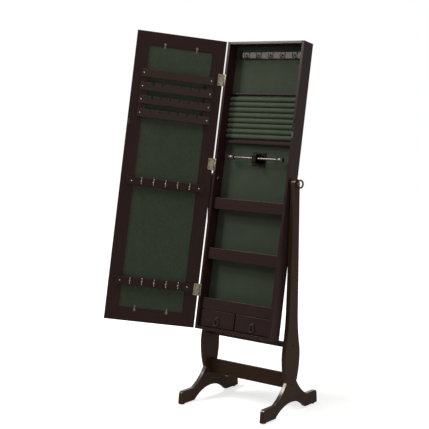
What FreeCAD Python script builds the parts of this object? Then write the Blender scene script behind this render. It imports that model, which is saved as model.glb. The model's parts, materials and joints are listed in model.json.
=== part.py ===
"""Jewellery cheval mirror: a shallow cabinet with a mirrored door that tilts in a trestle stand.

Stand frame: X to the right, Y to the back, Z up, with the origin on the floor under the tilt axis.
Cabinet frame: x from the middle, y back from the front face, z up from the cabinet's underside.
The door is drawn shut in the cabinet frame and then swung open on its hinge pins.
Last, the whole is moved so that the origin is on the floor under the middle of its box.
All sizes are millimetres and degrees.
"""
import FreeCAD, Part
import math
import os

V = FreeCAD.Vector

# Clearances
fit = 0.3
running_fit = 0.05
overrun = 1.0

# Stand
stand_board = 18.0
pivot_height = 922.0
waist_height = 130.0
waist_width = 70.0

# Trestle foot
foot_length = 400.0
toe_height = 57.0
toe_lean = 4.0
toe_round = 14.0
instep_reach = 118.0
instep_hollow = 14.0
arch_span = 220.0
arch_rise = 42.0
glide_height = 4.0
glide_radius = 7.0
glide_sides = 12
glide_inset = 22.0
tenon_board = 8.0
tenon_width = 36.0
tenon_depth = 20.0

# Upright, a vase shape that narrows to a round head at the tilt axis
bulge_height = 232.0
bulge_width = 106.0
shoulder_height = 285.0
shoulder_width = 92.0
neck_height = 413.0
neck_width = 62.0
head_radius = 18.5
waist_bow = 4.5
shoulder_bow = 2.1
neck_hollow = 3.0

# Stretchers and their bolts
stretcher_board = 18.0
lower_stretcher_height = 60.0
lower_stretcher_centre = 131.0
upper_stretcher_height = 20.0
upper_stretcher_centre = 276.0
bolt_radius = 3.0
bolt_head_radius = 5.0
bolt_head = 3.5
bolt_recess = 4.5
bolt_reach = 40.0
bolt_spacing = 31.0
bolt_head_sides = 12
bolt_sides = 6

# Tilt pivot and ring knob
tilt_back = 9.4
pivot_gap = 7.5
shank_radius = 4.0
shank_show = 2.0
knob_ring_rise = 14.5
knob_ring_reach = 11.0
knob_wire = 3.5
knob_ring_sides = 24
knob_hub_radius = 6.0
knob_stub = 4.0
flange_radius = 13.0
sleeve_radius = 6.5

# Cabinet carcase
cabinet_width = 369.0
cabinet_depth = 66.5
cabinet_height = 1184.0
side_board = 11.0
top_board = 11.0
bottom_board = 12.0
pivot_setback = 27.5
pivot_rise_share = 0.5262
back_panel = 5.0
back_recess = 5.3
back_groove = 5.0
felt = 1.2

# Shelves with their front rails
upper_shelf_share = 0.4181
middle_shelf_share = 0.2441
drawer_bay = 72.0
shelf_board = 8.0
shelf_dado = 4.0
rail_setback = 12.0
rail_board = 8.0
rail_height = 46.0

# Hook rail and wire hooks
hook_rail_inset = 26.5
hook_rail_height = 28.0
hook_rail_board = 7.0
hook_rail_drop = 34.0
hook_count = 5
hook_end_room = 31.0
hook_wire = 1.3
hook_wire_sides = 6
hook_collar_radius = 3.0
hook_collar = 1.0
hook_collar_sides = 8
hook_neck = 2.0
hook_shoulder = 3.0
hook_stem = 5.0
hook_bend = 6.0
hook_tip = 23.0
hook_lift = 2.0
bend_corner_share = 0.41

# Ring tray with velvet rolls
tray_drop = 143.0
tray_ledge = 12.0
tray_ledge_depth = 19.0
tray_strip = 6.0
tray_strip_depth = 15.0
tray_board = 2.5
roll_count = 8
roll_pitch = 22.0
roll_gap = 0.8
roll_depth = 10.4
roll_room = 7.0
roll_end = 7.0
roll_end_places_shares = (0.0, 1.0)
roll_end_size_shares = (0.7, 1.0)

# Bracelet bar
bracelet_drop = 59.0
bracelet_plate_width = 62.0
bracelet_plate_height = 54.0
bracelet_plate = 4.0
bracelet_arm_width = 20.0
bracelet_arm_height = 36.0
bracelet_arm_setback = 13.0
bracelet_arm_round = 4.0
bracelet_rod_setback = 24.0
bracelet_rod_radius = 5.0
bracelet_end_room = 39.5
bracelet_knob_radius = 9.5
bracelet_knob_length = 24.0
bracelet_knob_bevel = 2.5
bracelet_knob_sides = 16
bracelet_socket = 14.0

# Drawers and teardrop pulls
drawer_front = 10.0
drawer_gap = 1.5
drawer_middle_gap = 5.0
drawer_divider = 8.0
drawer_wall = 5.0
drawer_floor = 3.0
drawer_box_height = 48.0
drawer_back_room = 3.0
drawer_side_room = 1.5
pull_rise = 3.0
pull_width = 26.0
pull_height = 36.0
pull_wall = 4.4
pull_board = 4.0
pull_tip_radius = 5.9
pull_eye_rise = 3.4
pull_pin_radius = 1.2
pull_post = 5.2
pull_rosette_radius = 6.0
pull_rosette = 1.5
pull_standoff = 6.0

# Door leaf
door_open = 137.3
door_gap = 3.0
door_board = 14.0
door_frame = 54.0
door_lip = 3.5
door_lip_width = 8.0
door_edge_round = 3.0
mirror_glass = 4.0
door_backing = 3.0

# Butt hinges, catch and bumper
hinge_height_shares = (0.1326, 0.5701, 0.8649)
hinge_height = 48.0
hinge_leaf = 1.2
hinge_offset = 2.0
hinge_knuckle_radius = 2.1
hinge_knuckles = 3
hinge_pin_radius = 1.1
cabinet_leaf_width = 9.5
door_leaf_width = 20.0
catch_height_share = 0.6833
catch_length = 24.0
catch_plate_width = 9.0
catch_plate = 1.0
catch_magnet = 1.2
bumper_height_share = 0.7357
bumper_length = 20.0
bumper_width = 7.0
bumper_pad = 2.0

# Panel clips on the door
clip_spacing = 131.0
clip_width = 11.0
clip_reach = 12.0
clip_plate = 1.0

# Earring rack
rack_inset = 36.0
rack_drop = 156.0
rack_strips = 4
rack_pitch = 54.5
rack_strip_height = 32.5
rack_strip_board = 4.0
cleat_width = 30.0
cleat_board = 8.0
notch_count = 6
notch_end_room = 53.5
notch_width = 4.0
notch_depth = 13.0

# Necklace rails
necklace_inset = 24.5
necklace_rail_height = 32.0
necklace_rail_board = 10.0
necklace_rail_shares = (0.1233, 0.4662)
necklace_end_room = 61.4

# Places worked out from the sizes above
stand_width = cabinet_width + 2 * (pivot_gap + stand_board)
stand_inside = stand_width / 2 - stand_board
pivot_rise = cabinet_height * pivot_rise_share
cabinet_half = cabinet_width / 2
inside_half = cabinet_half - side_board
back_front = cabinet_depth - back_recess - back_panel
felt_front = back_front - felt
rail_back = rail_setback + rail_board
door_inner = -door_gap
door_outer = door_inner - door_board
mirror_front = door_outer + door_lip
backing_front = mirror_front + mirror_glass
door_felt_front = backing_front + door_backing
door_felt_face = door_felt_front + felt
hinge_x = -cabinet_half - hinge_offset
hinge_y = -door_gap / 2
hinge_heights = [cabinet_height * share for share in hinge_height_shares]
catch_height = cabinet_height * catch_height_share
bumper_height = cabinet_height * bumper_height_share
lower_shelf_base = bottom_board + drawer_bay
middle_shelf_base = cabinet_height * middle_shelf_share
upper_shelf_base = cabinet_height * upper_shelf_share
hook_rail_width = 2 * (inside_half - hook_rail_inset)
hook_pitch = (hook_rail_width - 2 * hook_end_room) / (hook_count - 1)
hook_rail_base = cabinet_height - hook_rail_drop - hook_rail_height
tray_ceiling = hook_rail_base - tray_drop - tray_strip
tray_floor = tray_ceiling - roll_count * roll_pitch - 2 * roll_room
tray_base = tray_floor - tray_ledge
bracelet_height = tray_base - bracelet_drop
bracelet_length = 2 * (inside_half - bracelet_end_room)
drawer_ceiling = lower_shelf_base - drawer_gap
drawer_base = bottom_board + drawer_gap
rack_width = cabinet_width - 2 * rack_inset
rack_base = cabinet_height - rack_drop - rack_strip_height - (rack_strips - 1) * rack_pitch
notch_pitch = (rack_width - 2 * notch_end_room) / (notch_count - 1)
necklace_rail_width = cabinet_width - 2 * necklace_inset
necklace_rail_bases = [cabinet_height * share for share in necklace_rail_shares]
necklace_hook_pitch = (necklace_rail_width - 2 * necklace_end_room) / (hook_count - 1)
shelf_bases = {"upper": upper_shelf_base, "middle": middle_shelf_base, "lower": lower_shelf_base}


def box(x0, x1, y0, y1, z0, z1):
    """Block between two opposite corners."""
    corner = V(min(x0, x1), min(y0, y1), min(z0, z1))
    return Part.makeBox(abs(x1 - x0), abs(y1 - y0), abs(z1 - z0), corner)


def rod_x(radius, x0, x1, y, z):
    """Round bar along X."""
    return Part.makeCylinder(radius, abs(x1 - x0), V(min(x0, x1), y, z), V(1, 0, 0))


def rod_y(radius, x, y0, y1, z):
    """Round bar along Y."""
    return Part.makeCylinder(radius, abs(y1 - y0), V(x, min(y0, y1), z), V(0, 1, 0))


def rod_z(radius, x, y, z0, z1):
    """Round bar along Z."""
    return Part.makeCylinder(radius, abs(z1 - z0), V(x, y, min(z0, z1)), V(0, 0, 1))


def flat_sided(radius, sides, start, end):
    """Flat-sided bar from start to end, along X, Y or Z, for small pieces that repeat."""
    return Part.Face(flat_ring(radius, sides, start, end - start)).extrude(end - start)


def flat_ring(radius, sides, centre, axis):
    """Closed outline with flat sides round an axis."""
    turn = FreeCAD.Rotation(V(0, 0, 1), axis)
    corners = [
        centre + turn.multVec(V(radius * math.cos(angle), radius * math.sin(angle), 0))
        for angle in [2 * math.pi * i / sides for i in range(sides + 1)]
    ]
    corners[-1] = corners[0]
    return Part.makePolygon(corners)


def line(start, end):
    """Straight edge."""
    return Part.LineSegment(start, end).toShape()


def arc(start, middle, end):
    """Round edge through three points."""
    return Part.Arc(start, middle, end).toShape()


def bowed(start, end, bow):
    """Round edge in a YZ plane that stands off its chord by bow, to the right of the way it runs."""
    aside = (end - start).cross(V(1, 0, 0)).normalize()
    return arc(start, (start + end) / 2 + aside * bow, end)


def plate(edges, depth):
    """Solid pushed out along depth from the outline that the edges close."""
    return Part.Face(Part.Wire(Part.__sortEdges__(edges))).extrude(depth)


def both_ways(edges):
    """The edges of a half outline and their mirror images in the plane y = 0."""
    return edges + [edge.mirror(V(0, 0, 0), V(0, 1, 0)) for edge in edges]


def spread(count, pitch):
    """Places of a row of count pieces about zero."""
    return [(i - (count - 1) / 2) * pitch for i in range(count)]


def round_edges(solid, radius, chosen):
    """Round the edges that the test picks."""
    return solid.makeFillet(radius, [edge for edge in solid.Edges if chosen(edge)])


def tilted(shape):
    """Carry a shape from the cabinet frame to the stand, leaning back on the tilt axis."""
    shape = shape.copy()
    shape.translate(V(0, -pivot_setback, -pivot_rise))
    shape.rotate(V(0, 0, 0), V(1, 0, 0), -tilt_back)
    shape.translate(V(0, 0, pivot_height))
    return shape


def swung(shape):
    """Carry a shape from the shut door to the open one."""
    shape = shape.copy()
    shape.rotate(V(hinge_x, hinge_y, 0), V(0, 0, 1), -door_open)
    return tilted(shape)


def standing(shape):
    """A shape already drawn in the stand's frame."""
    return shape


nodes = {}


def add(name, pieces, carry):
    """Keep one node, made of one piece or of several alike, carried to the stand's frame."""
    pieces = pieces if isinstance(pieces, list) else [pieces]
    nodes[name] = Part.makeCompound([carry(piece) for piece in pieces])


def export():
    """Centre the whole on the floor and write one file for each node."""
    whole = Part.makeCompound(list(nodes.values())).BoundBox
    for name, shape in nodes.items():
        shape.translate(V(-whole.Center.x, -whole.Center.y, -whole.ZMin))
        shape.exportStep("parts/" + name + ".step")


# Stand

def bolt_heights():
    """Heights of the stretcher bolts: two in the lower stretcher and one in the upper."""
    return [lower_stretcher_centre + offset for offset in spread(2, bolt_spacing)] + [upper_stretcher_centre]


def bolt_holes(side):
    """Counterbored holes through one side of the stand."""
    holes = []
    for z in bolt_heights():
        outside = V(side * (stand_width / 2 + overrun), 0, z)
        seat = V(side * (stand_width / 2 - bolt_recess), 0, z)
        inside = V(side * (stand_inside - overrun), 0, z)
        holes.append(flat_sided(bolt_head_radius + fit, bolt_head_sides, outside, seat))
        holes.append(flat_sided(bolt_radius + fit, bolt_sides, outside, inside))
    return holes


def tenon(side, room):
    """Tongue under the upright, or its mortise in the foot when there is room round it."""
    x = side * (stand_width - stand_board) / 2
    half = tenon_board / 2 + room
    rise = waist_height - tenon_depth - room
    return box(x - half, x + half, -tenon_width / 2 - room, tenon_width / 2 + room, rise, waist_height)


def upright(side):
    """One upright: waist, vase bulge, shoulder and long taper up to the round head."""
    x = min(side * stand_inside, side * stand_width / 2)
    waist = V(x, waist_width / 2, waist_height)
    bulge = V(x, bulge_width / 2, bulge_height)
    shoulder = V(x, shoulder_width / 2, shoulder_height)
    neck = V(x, neck_width / 2, neck_height)
    head = V(x, head_radius, pivot_height)
    half = [
        bowed(waist, bulge, waist_bow),
        bowed(bulge, shoulder, shoulder_bow),
        bowed(shoulder, neck, -neck_hollow),
        line(neck, head),
    ]
    crown = arc(head, V(x, 0, pivot_height + head_radius), V(x, -head_radius, pivot_height))
    sole = line(waist, V(x, -waist_width / 2, waist_height))
    board = plate(both_ways(half) + [crown, sole], V(stand_board, 0, 0))
    inner = side * (stand_inside - overrun)
    outer = side * (stand_width / 2 + overrun)
    pivot = rod_x(shank_radius + running_fit, inner, outer, 0, pivot_height)
    return board.fuse(tenon(side, 0)).cut([pivot] + bolt_holes(side)).removeSplitter()


def foot(side):
    """One trestle foot: flat toes, hollow insteps and an arch between the soles."""
    x = min(side * stand_inside, side * stand_width / 2)
    heel = V(x, arch_span / 2, glide_height)
    toe = V(x, foot_length / 2, glide_height)
    toe_side = V(x, foot_length / 2 - toe_lean, toe_height - toe_round)
    toe_top = V(x, foot_length / 2 - toe_lean - toe_round, toe_height)
    instep = V(x, instep_reach, toe_height)
    waist = V(x, waist_width / 2, waist_height)
    corner_bow = toe_round * (1 - math.cos(math.pi / 4))
    half = [
        line(heel, toe),
        line(toe, toe_side),
        bowed(toe_side, toe_top, corner_bow),
        line(toe_top, instep),
        bowed(instep, waist, -instep_hollow),
    ]
    arch = arc(heel, V(x, 0, glide_height + arch_rise), V(x, -arch_span / 2, glide_height))
    top = line(waist, V(x, -waist_width / 2, waist_height))
    board = plate(both_ways(half) + [arch, top], V(stand_board, 0, 0))
    return board.cut([tenon(side, fit)] + bolt_holes(side))


def foot_glides():
    """Glides under the four toes."""
    x = (stand_width - stand_board) / 2
    y = foot_length / 2 - glide_inset
    return [
        flat_sided(glide_radius, glide_sides, V(sx * x, sy * y, 0), V(sx * x, sy * y, glide_height))
        for sx in (-1, 1)
        for sy in (-1, 1)
    ]


def stretcher(centre, height):
    """Board between the two sides, drilled in its ends for the bolts."""
    low = centre - height / 2
    board = box(-stand_inside, stand_inside, -stretcher_board / 2, stretcher_board / 2, low, low + height)
    end = stand_width / 2 - bolt_recess - bolt_reach - fit
    bores = [
        flat_sided(bolt_radius + fit, bolt_sides, V(side * stand_width / 2, 0, z), V(side * end, 0, z))
        for side in (-1, 1)
        for z in bolt_heights()
    ]
    return board.cut(bores)


def stretcher_bolt(side, z):
    """Bolt with its head sunk in the side's outer face."""
    seat = V(side * (stand_width / 2 - bolt_recess), 0, z)
    crown = seat + V(side * bolt_head, 0, 0)
    tip = seat - V(side * bolt_reach, 0, 0)
    head = flat_sided(bolt_head_radius, bolt_head_sides, seat, crown)
    return head.fuse(flat_sided(bolt_radius, bolt_sides, seat, tip)).removeSplitter()


def stretcher_bolts():
    """Three bolts on each side."""
    return [stretcher_bolt(side, z) for side in (-1, 1) for z in bolt_heights()]


def oval_block(middle, growth):
    """Flat-sided oval block along Y, as wide and tall as the finger ring's centre line plus growth."""
    start = middle - V(0, knob_wire, 0)
    wide = knob_ring_reach + growth
    tall = knob_ring_rise + growth
    corners = [
        start + V(wide * math.cos(angle), 0, tall * math.sin(angle))
        for angle in [2 * math.pi * i / knob_ring_sides for i in range(knob_ring_sides)]
    ]
    return Part.Face(Part.makePolygon(corners + corners[:1])).extrude(V(0, 2 * knob_wire, 0))


def finger_ring(middle):
    """Oval ring to turn by hand, in the plane of the screw, with a bevelled eight-sided section."""
    ring = oval_block(middle, knob_wire).cut(oval_block(middle, -knob_wire))
    bevel = knob_wire * (1 - bend_corner_share)
    return ring.makeChamfer(bevel, [edge for edge in ring.Edges if edge.BoundBox.YLength < fit])


def tilt_knob(side):
    """Finger ring, its hub, and the screw that runs through the upright into the cabinet."""
    face = stand_width / 2 + fit
    centre = face + knob_ring_reach + knob_wire
    rim = centre - knob_ring_reach
    ring = finger_ring(V(side * centre, 0, pivot_height))
    hub = rod_x(knob_hub_radius, side * face, side * rim, 0, pivot_height)
    tip = inside_half - shank_show
    shank = rod_x(shank_radius, side * tip, side * (rim + knob_wire + knob_stub), 0, pivot_height)
    return ring.fuse([hub, shank]).removeSplitter()


# Cabinet carcase, in the cabinet frame

def pivot_bushing(side):
    """Flanged sleeve in the cabinet's side; its flange keeps the cabinet off the upright."""
    sleeve = rod_x(sleeve_radius, side * inside_half, side * cabinet_half, pivot_setback, pivot_rise)
    reach = stand_inside - fit
    flange = rod_x(flange_radius, side * cabinet_half, side * reach, pivot_setback, pivot_rise)
    inner = side * (inside_half - overrun)
    outer = side * (stand_inside + overrun)
    bore = rod_x(shank_radius + running_fit, inner, outer, pivot_setback, pivot_rise)
    return sleeve.fuse(flange).cut(bore).removeSplitter()


def back_slot():
    """Groove that holds the back panel in the four carcase boards."""
    reach = inside_half + back_groove
    low = bottom_board - back_groove
    high = cabinet_height - top_board + back_groove
    return box(-reach, reach, back_front, back_front + back_panel, low, high)


def cabinet_side(side):
    """Side board, grooved for the back and the shelves and drilled for the pivot bushing."""
    board = box(side * inside_half, side * cabinet_half, 0, cabinet_depth, 0, cabinet_height)
    cuts = [back_slot()]
    for base in shelf_bases.values():
        dado = side * (inside_half + shelf_dado)
        cuts.append(box(side * (inside_half - overrun), dado, rail_back, felt_front, base, base + shelf_board))
    inner = inside_half - overrun
    outer = cabinet_half + overrun
    cuts.append(rod_x(sleeve_radius + running_fit, side * inner, side * outer, pivot_setback, pivot_rise))
    return board.cut(cuts)


def cabinet_top():
    """Top board between the sides."""
    board = box(-inside_half, inside_half, 0, cabinet_depth, cabinet_height - top_board, cabinet_height)
    return board.cut(back_slot())


def cabinet_bottom():
    """Bottom board between the sides."""
    return box(-inside_half, inside_half, 0, cabinet_depth, 0, bottom_board).cut(back_slot())


def cabinet_back():
    """Thin panel in the grooves."""
    reach = inside_half + back_groove - fit
    low = bottom_board - back_groove + fit
    high = cabinet_height - top_board + back_groove - fit
    return box(-reach, reach, back_front, back_front + back_panel, low, high)


def cabinet_felt():
    """Felt sheet glued to the front of the back panel."""
    return box(-inside_half, inside_half, felt_front, back_front, bottom_board, cabinet_height - top_board)


def shelf(base):
    """Shelf board housed in the sides, from the rail to the felt."""
    reach = inside_half + shelf_dado - fit
    return box(-reach, reach, rail_back, felt_front, base, base + shelf_board)


def shelf_rail(base):
    """Upright board that keeps things on the shelf."""
    return box(-inside_half, inside_half, rail_setback, rail_back, base, base + rail_height)


def wire_hook(x, face, z, out):
    """Long-tipped cup hook of bent wire with a collar; it stands off the face along y in the sense of out."""
    down = hook_neck + hook_shoulder
    tip = down + 2 * hook_bend
    stem_end = -hook_shoulder - hook_stem
    corner = hook_bend * bend_corner_share
    places = [
        (0, 0),
        (hook_neck + hook_shoulder * bend_corner_share, 0),
        (down, hook_shoulder * (bend_corner_share - 1)),
        (down, stem_end - corner),
        (down + hook_bend - corner, stem_end - hook_bend),
        (down + hook_bend + corner, stem_end - hook_bend),
        (tip, stem_end - corner),
        (tip, stem_end + hook_tip),
    ]
    path = Part.makePolygon([V(x, face + out * reach, z + rise) for reach, rise in places])
    section = flat_ring(hook_wire, hook_wire_sides, V(x, face, z), V(0, out, 0))
    wire = path.makePipeShell([section], True, False, 1)
    collar = flat_sided(hook_collar_radius, hook_collar_sides, V(x, face, z), V(x, face + out * hook_collar, z))
    return wire.fuse(collar).removeSplitter()


def hook_rail():
    """Board across the top bay."""
    half = hook_rail_width / 2
    top = hook_rail_base + hook_rail_height
    return box(-half, half, felt_front - hook_rail_board, felt_front, hook_rail_base, top)


def rail_hooks():
    """Hooks along the cabinet's hook rail."""
    face = felt_front - hook_rail_board
    z = hook_rail_base + hook_rail_height / 2 + hook_lift
    return [wire_hook(x, face, z, -1) for x in spread(hook_count, hook_pitch)]


def ring_tray():
    """Ledge, thin back board and top strip round the ring rolls, drawn as one profile."""
    back = felt_front
    board = back - tray_board
    ledge = back - tray_ledge_depth
    strip = back - tray_strip_depth
    outline = [
        (back, tray_base),
        (ledge, tray_base),
        (ledge, tray_floor),
        (board, tray_floor),
        (board, tray_ceiling),
        (strip, tray_ceiling),
        (strip, tray_ceiling + tray_strip),
        (back, tray_ceiling + tray_strip),
    ]
    corners = [V(-inside_half, y, z) for y, z in outline]
    return Part.Face(Part.makePolygon(corners + corners[:1])).extrude(V(2 * inside_half, 0, 0))


def roll_section(x, back, z, size_share):
    """Cross-section of a ring roll: a half round with its flat against the tray."""
    rise = (roll_pitch - roll_gap) / 2 * size_share
    high = V(x, back, z + rise)
    low = V(x, back, z - rise)
    front = V(x, back - roll_depth * size_share, z)
    return Part.Wire([arc(high, front, low), line(low, high)])


def ring_roll(z):
    """Velvet roll with drawn-in ends."""
    back = felt_front - tray_board - fit
    half = inside_half - fit
    ends = list(zip(roll_end_places_shares, roll_end_size_shares))
    stations = [(-half + place * roll_end, size) for place, size in ends]
    stations += [(half - place * roll_end, size) for place, size in reversed(ends)]
    sections = [roll_section(x, back, z, size) for x, size in stations]
    return Part.makeLoft(sections, True, True)


def ring_rolls():
    """Row of rolls, one above the other."""
    middle = (tray_floor + tray_ceiling) / 2
    return [ring_roll(middle + offset) for offset in spread(roll_count, roll_pitch)]


def bracelet_bracket():
    """Back plate and arm that hold the bracelet rod."""
    half = bracelet_plate_width / 2
    rise = bracelet_plate_height / 2
    arm_half = bracelet_arm_width / 2
    arm_rise = bracelet_arm_height / 2
    pad = box(
        -half, half, felt_front - bracelet_plate, felt_front, bracelet_height - rise, bracelet_height + rise
    )
    arm = box(
        -arm_half,
        arm_half,
        bracelet_arm_setback,
        felt_front - bracelet_plate,
        bracelet_height - arm_rise,
        bracelet_height + arm_rise,
    )
    front = bracelet_arm_setback + fit
    arm = round_edges(
        arm, bracelet_arm_round, lambda edge: edge.BoundBox.YMax < front and edge.BoundBox.ZLength < fit
    )
    bore = rod_x(
        bracelet_rod_radius + running_fit, -half, half, bracelet_rod_setback, bracelet_height
    )
    return pad.fuse(arm).cut(bore).removeSplitter()


def bracelet_rod():
    """Round rod through the arm, set into both end knobs."""
    half = bracelet_length / 2 - bracelet_knob_length + bracelet_socket
    return rod_x(bracelet_rod_radius, -half, half, bracelet_rod_setback, bracelet_height)


def bracelet_knob(side):
    """End knob with bevelled rims, bored for the rod."""
    outer = side * bracelet_length / 2
    inner = outer - side * bracelet_knob_length
    socket = inner + side * bracelet_socket
    bevel = side * bracelet_knob_bevel
    rim = bracelet_knob_radius - bracelet_knob_bevel
    stations = [
        (inner, rim),
        (inner + bevel, bracelet_knob_radius),
        (outer - bevel, bracelet_knob_radius),
        (outer, rim),
    ]
    rings = [
        flat_ring(radius, bracelet_knob_sides, V(x, bracelet_rod_setback, bracelet_height), V(1, 0, 0))
        for x, radius in stations
    ]
    bore = rod_x(
        bracelet_rod_radius + running_fit, inner - side * overrun, socket, bracelet_rod_setback, bracelet_height
    )
    return Part.makeLoft(rings, True, True).cut(bore)


# Drawers, in the cabinet frame

def drawer_divider_board():
    """Board between the drawers, behind their fronts."""
    half = drawer_divider / 2
    front = rail_setback + drawer_front + fit
    return box(-half, half, front, felt_front, bottom_board, lower_shelf_base)


def drawer_span(side):
    """Inner and outer edge of one drawer front."""
    return side * drawer_middle_gap / 2, side * (inside_half - drawer_gap)


def drawer_front_board(side):
    """Plain inset front."""
    near, far = drawer_span(side)
    back = rail_setback + drawer_front
    return box(near, far, rail_setback, back, drawer_base, drawer_ceiling)


def drawer_box(side):
    """Open box glued behind the front."""
    near = side * (drawer_divider / 2 + drawer_side_room)
    far = side * (inside_half - drawer_side_room)
    front = rail_setback + drawer_front
    back = felt_front - drawer_back_room
    base = bottom_board + fit
    top = base + drawer_box_height
    shell = box(near, far, front, back, base, top)
    hollow = box(
        near + side * drawer_wall,
        far - side * drawer_wall,
        front + drawer_wall,
        back - drawer_wall,
        base + drawer_floor,
        top + overrun,
    )
    return shell.cut(hollow)


def pull_place(side):
    """Pin axis of one pull: middle of the front across, and its height."""
    near, far = drawer_span(side)
    return (near + far) / 2, rail_setback - pull_standoff, (drawer_base + drawer_ceiling) / 2 + pull_rise


def pull_mount(side):
    """Rosette and square post, bored across for the pull's pin."""
    x, y, z = pull_place(side)
    half = pull_post / 2
    rosette = rod_y(pull_rosette_radius, x, rail_setback - pull_rosette, rail_setback, z)
    post = box(x - half, x + half, y - half, rail_setback - pull_rosette, z - half, z + half)
    reach = half + overrun
    bore = rod_x(pull_pin_radius + running_fit, x - reach, x + reach, y, z)
    return rosette.fuse(post).cut(bore).removeSplitter()


def teardrop(place, inset):
    """Teardrop plate hung from its pin at place, with its outline drawn in by inset."""
    x, y, z = place
    tip = pull_tip_radius - inset
    bow = pull_width / 2 - inset
    drop = pull_height - pull_tip_radius - pull_width / 2
    lean = math.asin((bow - tip) / drop)
    front = y - pull_board / 2
    low = V(bow * math.cos(lean), 0, bow * math.sin(lean) - drop)
    high = V(tip * math.cos(lean), 0, tip * math.sin(lean))
    start = V(x, front, z)
    right_low = start + low
    right_high = start + high
    left_low = start + V(-low.x, 0, low.z)
    left_high = start + V(-high.x, 0, high.z)
    outline = [
        line(right_low, right_high),
        arc(right_high, start + V(0, 0, tip), left_high),
        line(left_high, left_low),
        arc(left_low, start - V(0, 0, drop + bow), right_low),
    ]
    return plate(outline, V(0, pull_board, 0))


def teardrop_pull(side):
    """Teardrop loop with a slot for the post, two low eyes, and the pin that crosses between them."""
    x, y, z = pull_place(side)
    half = pull_post / 2 + fit
    wide = pull_tip_radius * 2
    slot_low = z - pull_post * math.sqrt(2) / 2 - fit
    slot = box(x - half, x + half, y - pull_board, y + pull_board, slot_low, z + wide)
    above = box(x - wide, x + wide, y - pull_board, y + pull_board, z + pull_eye_rise, z + wide)
    loop = teardrop((x, y, z), 0).cut([teardrop((x, y, z), pull_wall), slot, above])
    reach = half + pull_wall / 2
    pin = rod_x(pull_pin_radius, x - reach, x + reach, y, z)
    return loop.fuse(pin).removeSplitter()


# Hinges and catch, on the cabinet and on the shut door

def hinge_half(height, plate_end, face, thickness, segments):
    """One leaf of a butt hinge with its share of the knuckles, bored for the pin."""
    low = height - hinge_height / 2
    step = hinge_height / hinge_knuckles
    clear = hinge_x + hinge_knuckle_radius + fit
    leaf = box(clear, plate_end, face, face + thickness, low, low + hinge_height)
    knuckles = []
    for i in segments:
        z0 = low + i * step + fit / 2
        z1 = low + (i + 1) * step - fit / 2
        knuckles.append(rod_z(hinge_knuckle_radius, hinge_x, hinge_y, z0, z1))
        knuckles.append(box(hinge_x, clear, face, face + thickness, z0, z1))
    bore = rod_z(
        hinge_pin_radius + running_fit, hinge_x, hinge_y, low - overrun, low + hinge_height + overrun
    )
    return leaf.fuse(knuckles).cut(bore).removeSplitter()


def cabinet_hinge_leaves():
    """Leaves on the front edge of the left side, with the outer knuckles."""
    segments = range(0, hinge_knuckles, 2)
    end = cabinet_leaf_width - cabinet_half
    return [hinge_half(height, end, 0, -hinge_leaf, segments) for height in hinge_heights]


def door_hinge_leaves():
    """Leaves on the door's inner face, with the middle knuckle."""
    segments = range(1, hinge_knuckles, 2)
    end = door_leaf_width - cabinet_half
    return [hinge_half(height, end, door_inner, hinge_leaf, segments) for height in hinge_heights]


def hinge_pins():
    """Pins through the knuckles."""
    half = hinge_height / 2
    return [rod_z(hinge_pin_radius, hinge_x, hinge_y, height - half, height + half) for height in hinge_heights]


def edge_block(height, length, width, face, thickness):
    """Small plate on the middle line of the right side's front edge, or of the stile that meets it."""
    x = cabinet_half - side_board / 2
    low = height - length / 2
    return box(x - width / 2, x + width / 2, face, face + thickness, low, low + length)


def catch_block(face, thickness):
    """One half of the magnetic catch."""
    return edge_block(catch_height, catch_length, catch_plate_width, face, thickness)


def door_bumper():
    """Soft pad that the shut door would meet first."""
    return edge_block(bumper_height, bumper_length, bumper_width, 0, -bumper_pad)


# Door, shut, in the cabinet frame

def door_rebate():
    """Space inside the frame for mirror, backing and felt."""
    reach = cabinet_half - door_frame
    return box(-reach, reach, mirror_front, overrun, door_frame, cabinet_height - door_frame)


def eased(board, side):
    """Round the stile's outer long edge."""
    edge_x = side * cabinet_half

    def outer_long(edge):
        bounds = edge.BoundBox
        at_corner = abs(bounds.XMin - edge_x) < fit and abs(bounds.YMin - door_outer) < fit
        return at_corner and bounds.ZLength > door_frame

    return round_edges(board, door_edge_round, outer_long)


def door_stile(side):
    """Full-height stile."""
    inner = side * (cabinet_half - door_frame - door_lip_width)
    board = box(side * cabinet_half, inner, door_outer, door_inner, 0, cabinet_height)
    return eased(board, side).cut(door_rebate())


def door_rail(low, high):
    """Rail between the stiles."""
    half = cabinet_half - door_frame - door_lip_width
    return box(-half, half, door_outer, door_inner, low, high).cut(door_rebate())


def door_sheet(front, thickness):
    """Sheet that lies in the frame's rebate."""
    reach = cabinet_half - door_frame - fit
    return box(
        -reach, reach, front, front + thickness, door_frame + fit, cabinet_height - door_frame - fit
    )


def panel_clip(x):
    """Cranked clip from the top rail down on to the felt."""
    edge = cabinet_height - door_frame
    outline = [
        (door_inner, edge),
        (door_inner, edge + clip_reach),
        (door_inner + clip_plate, edge + clip_reach),
        (door_inner + clip_plate, edge - clip_plate),
        (door_felt_face + clip_plate, edge - clip_plate),
        (door_felt_face + clip_plate, edge - clip_reach),
        (door_felt_face, edge - clip_reach),
        (door_felt_face, edge),
    ]
    corners = [V(x - clip_width / 2, y, z) for y, z in outline]
    return Part.Face(Part.makePolygon(corners + corners[:1])).extrude(V(clip_width, 0, 0))


def panel_clips():
    """Clips at the top edge of the felt and their mirror images at the bottom."""
    top = [panel_clip(x) for x in spread(2, clip_spacing)]
    middle = V(0, 0, cabinet_height / 2)
    return top + [clip.mirror(middle, V(0, 0, 1)) for clip in top]


def earring_cleats():
    """Upright battens on the stiles that carry the strips."""
    outer = rack_width / 2
    inner = outer - cleat_width
    top = rack_base + (rack_strips - 1) * rack_pitch + rack_strip_height
    return [
        box(side * inner, side * outer, door_inner, door_inner + cleat_board, rack_base, top)
        for side in (-1, 1)
    ]


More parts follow.
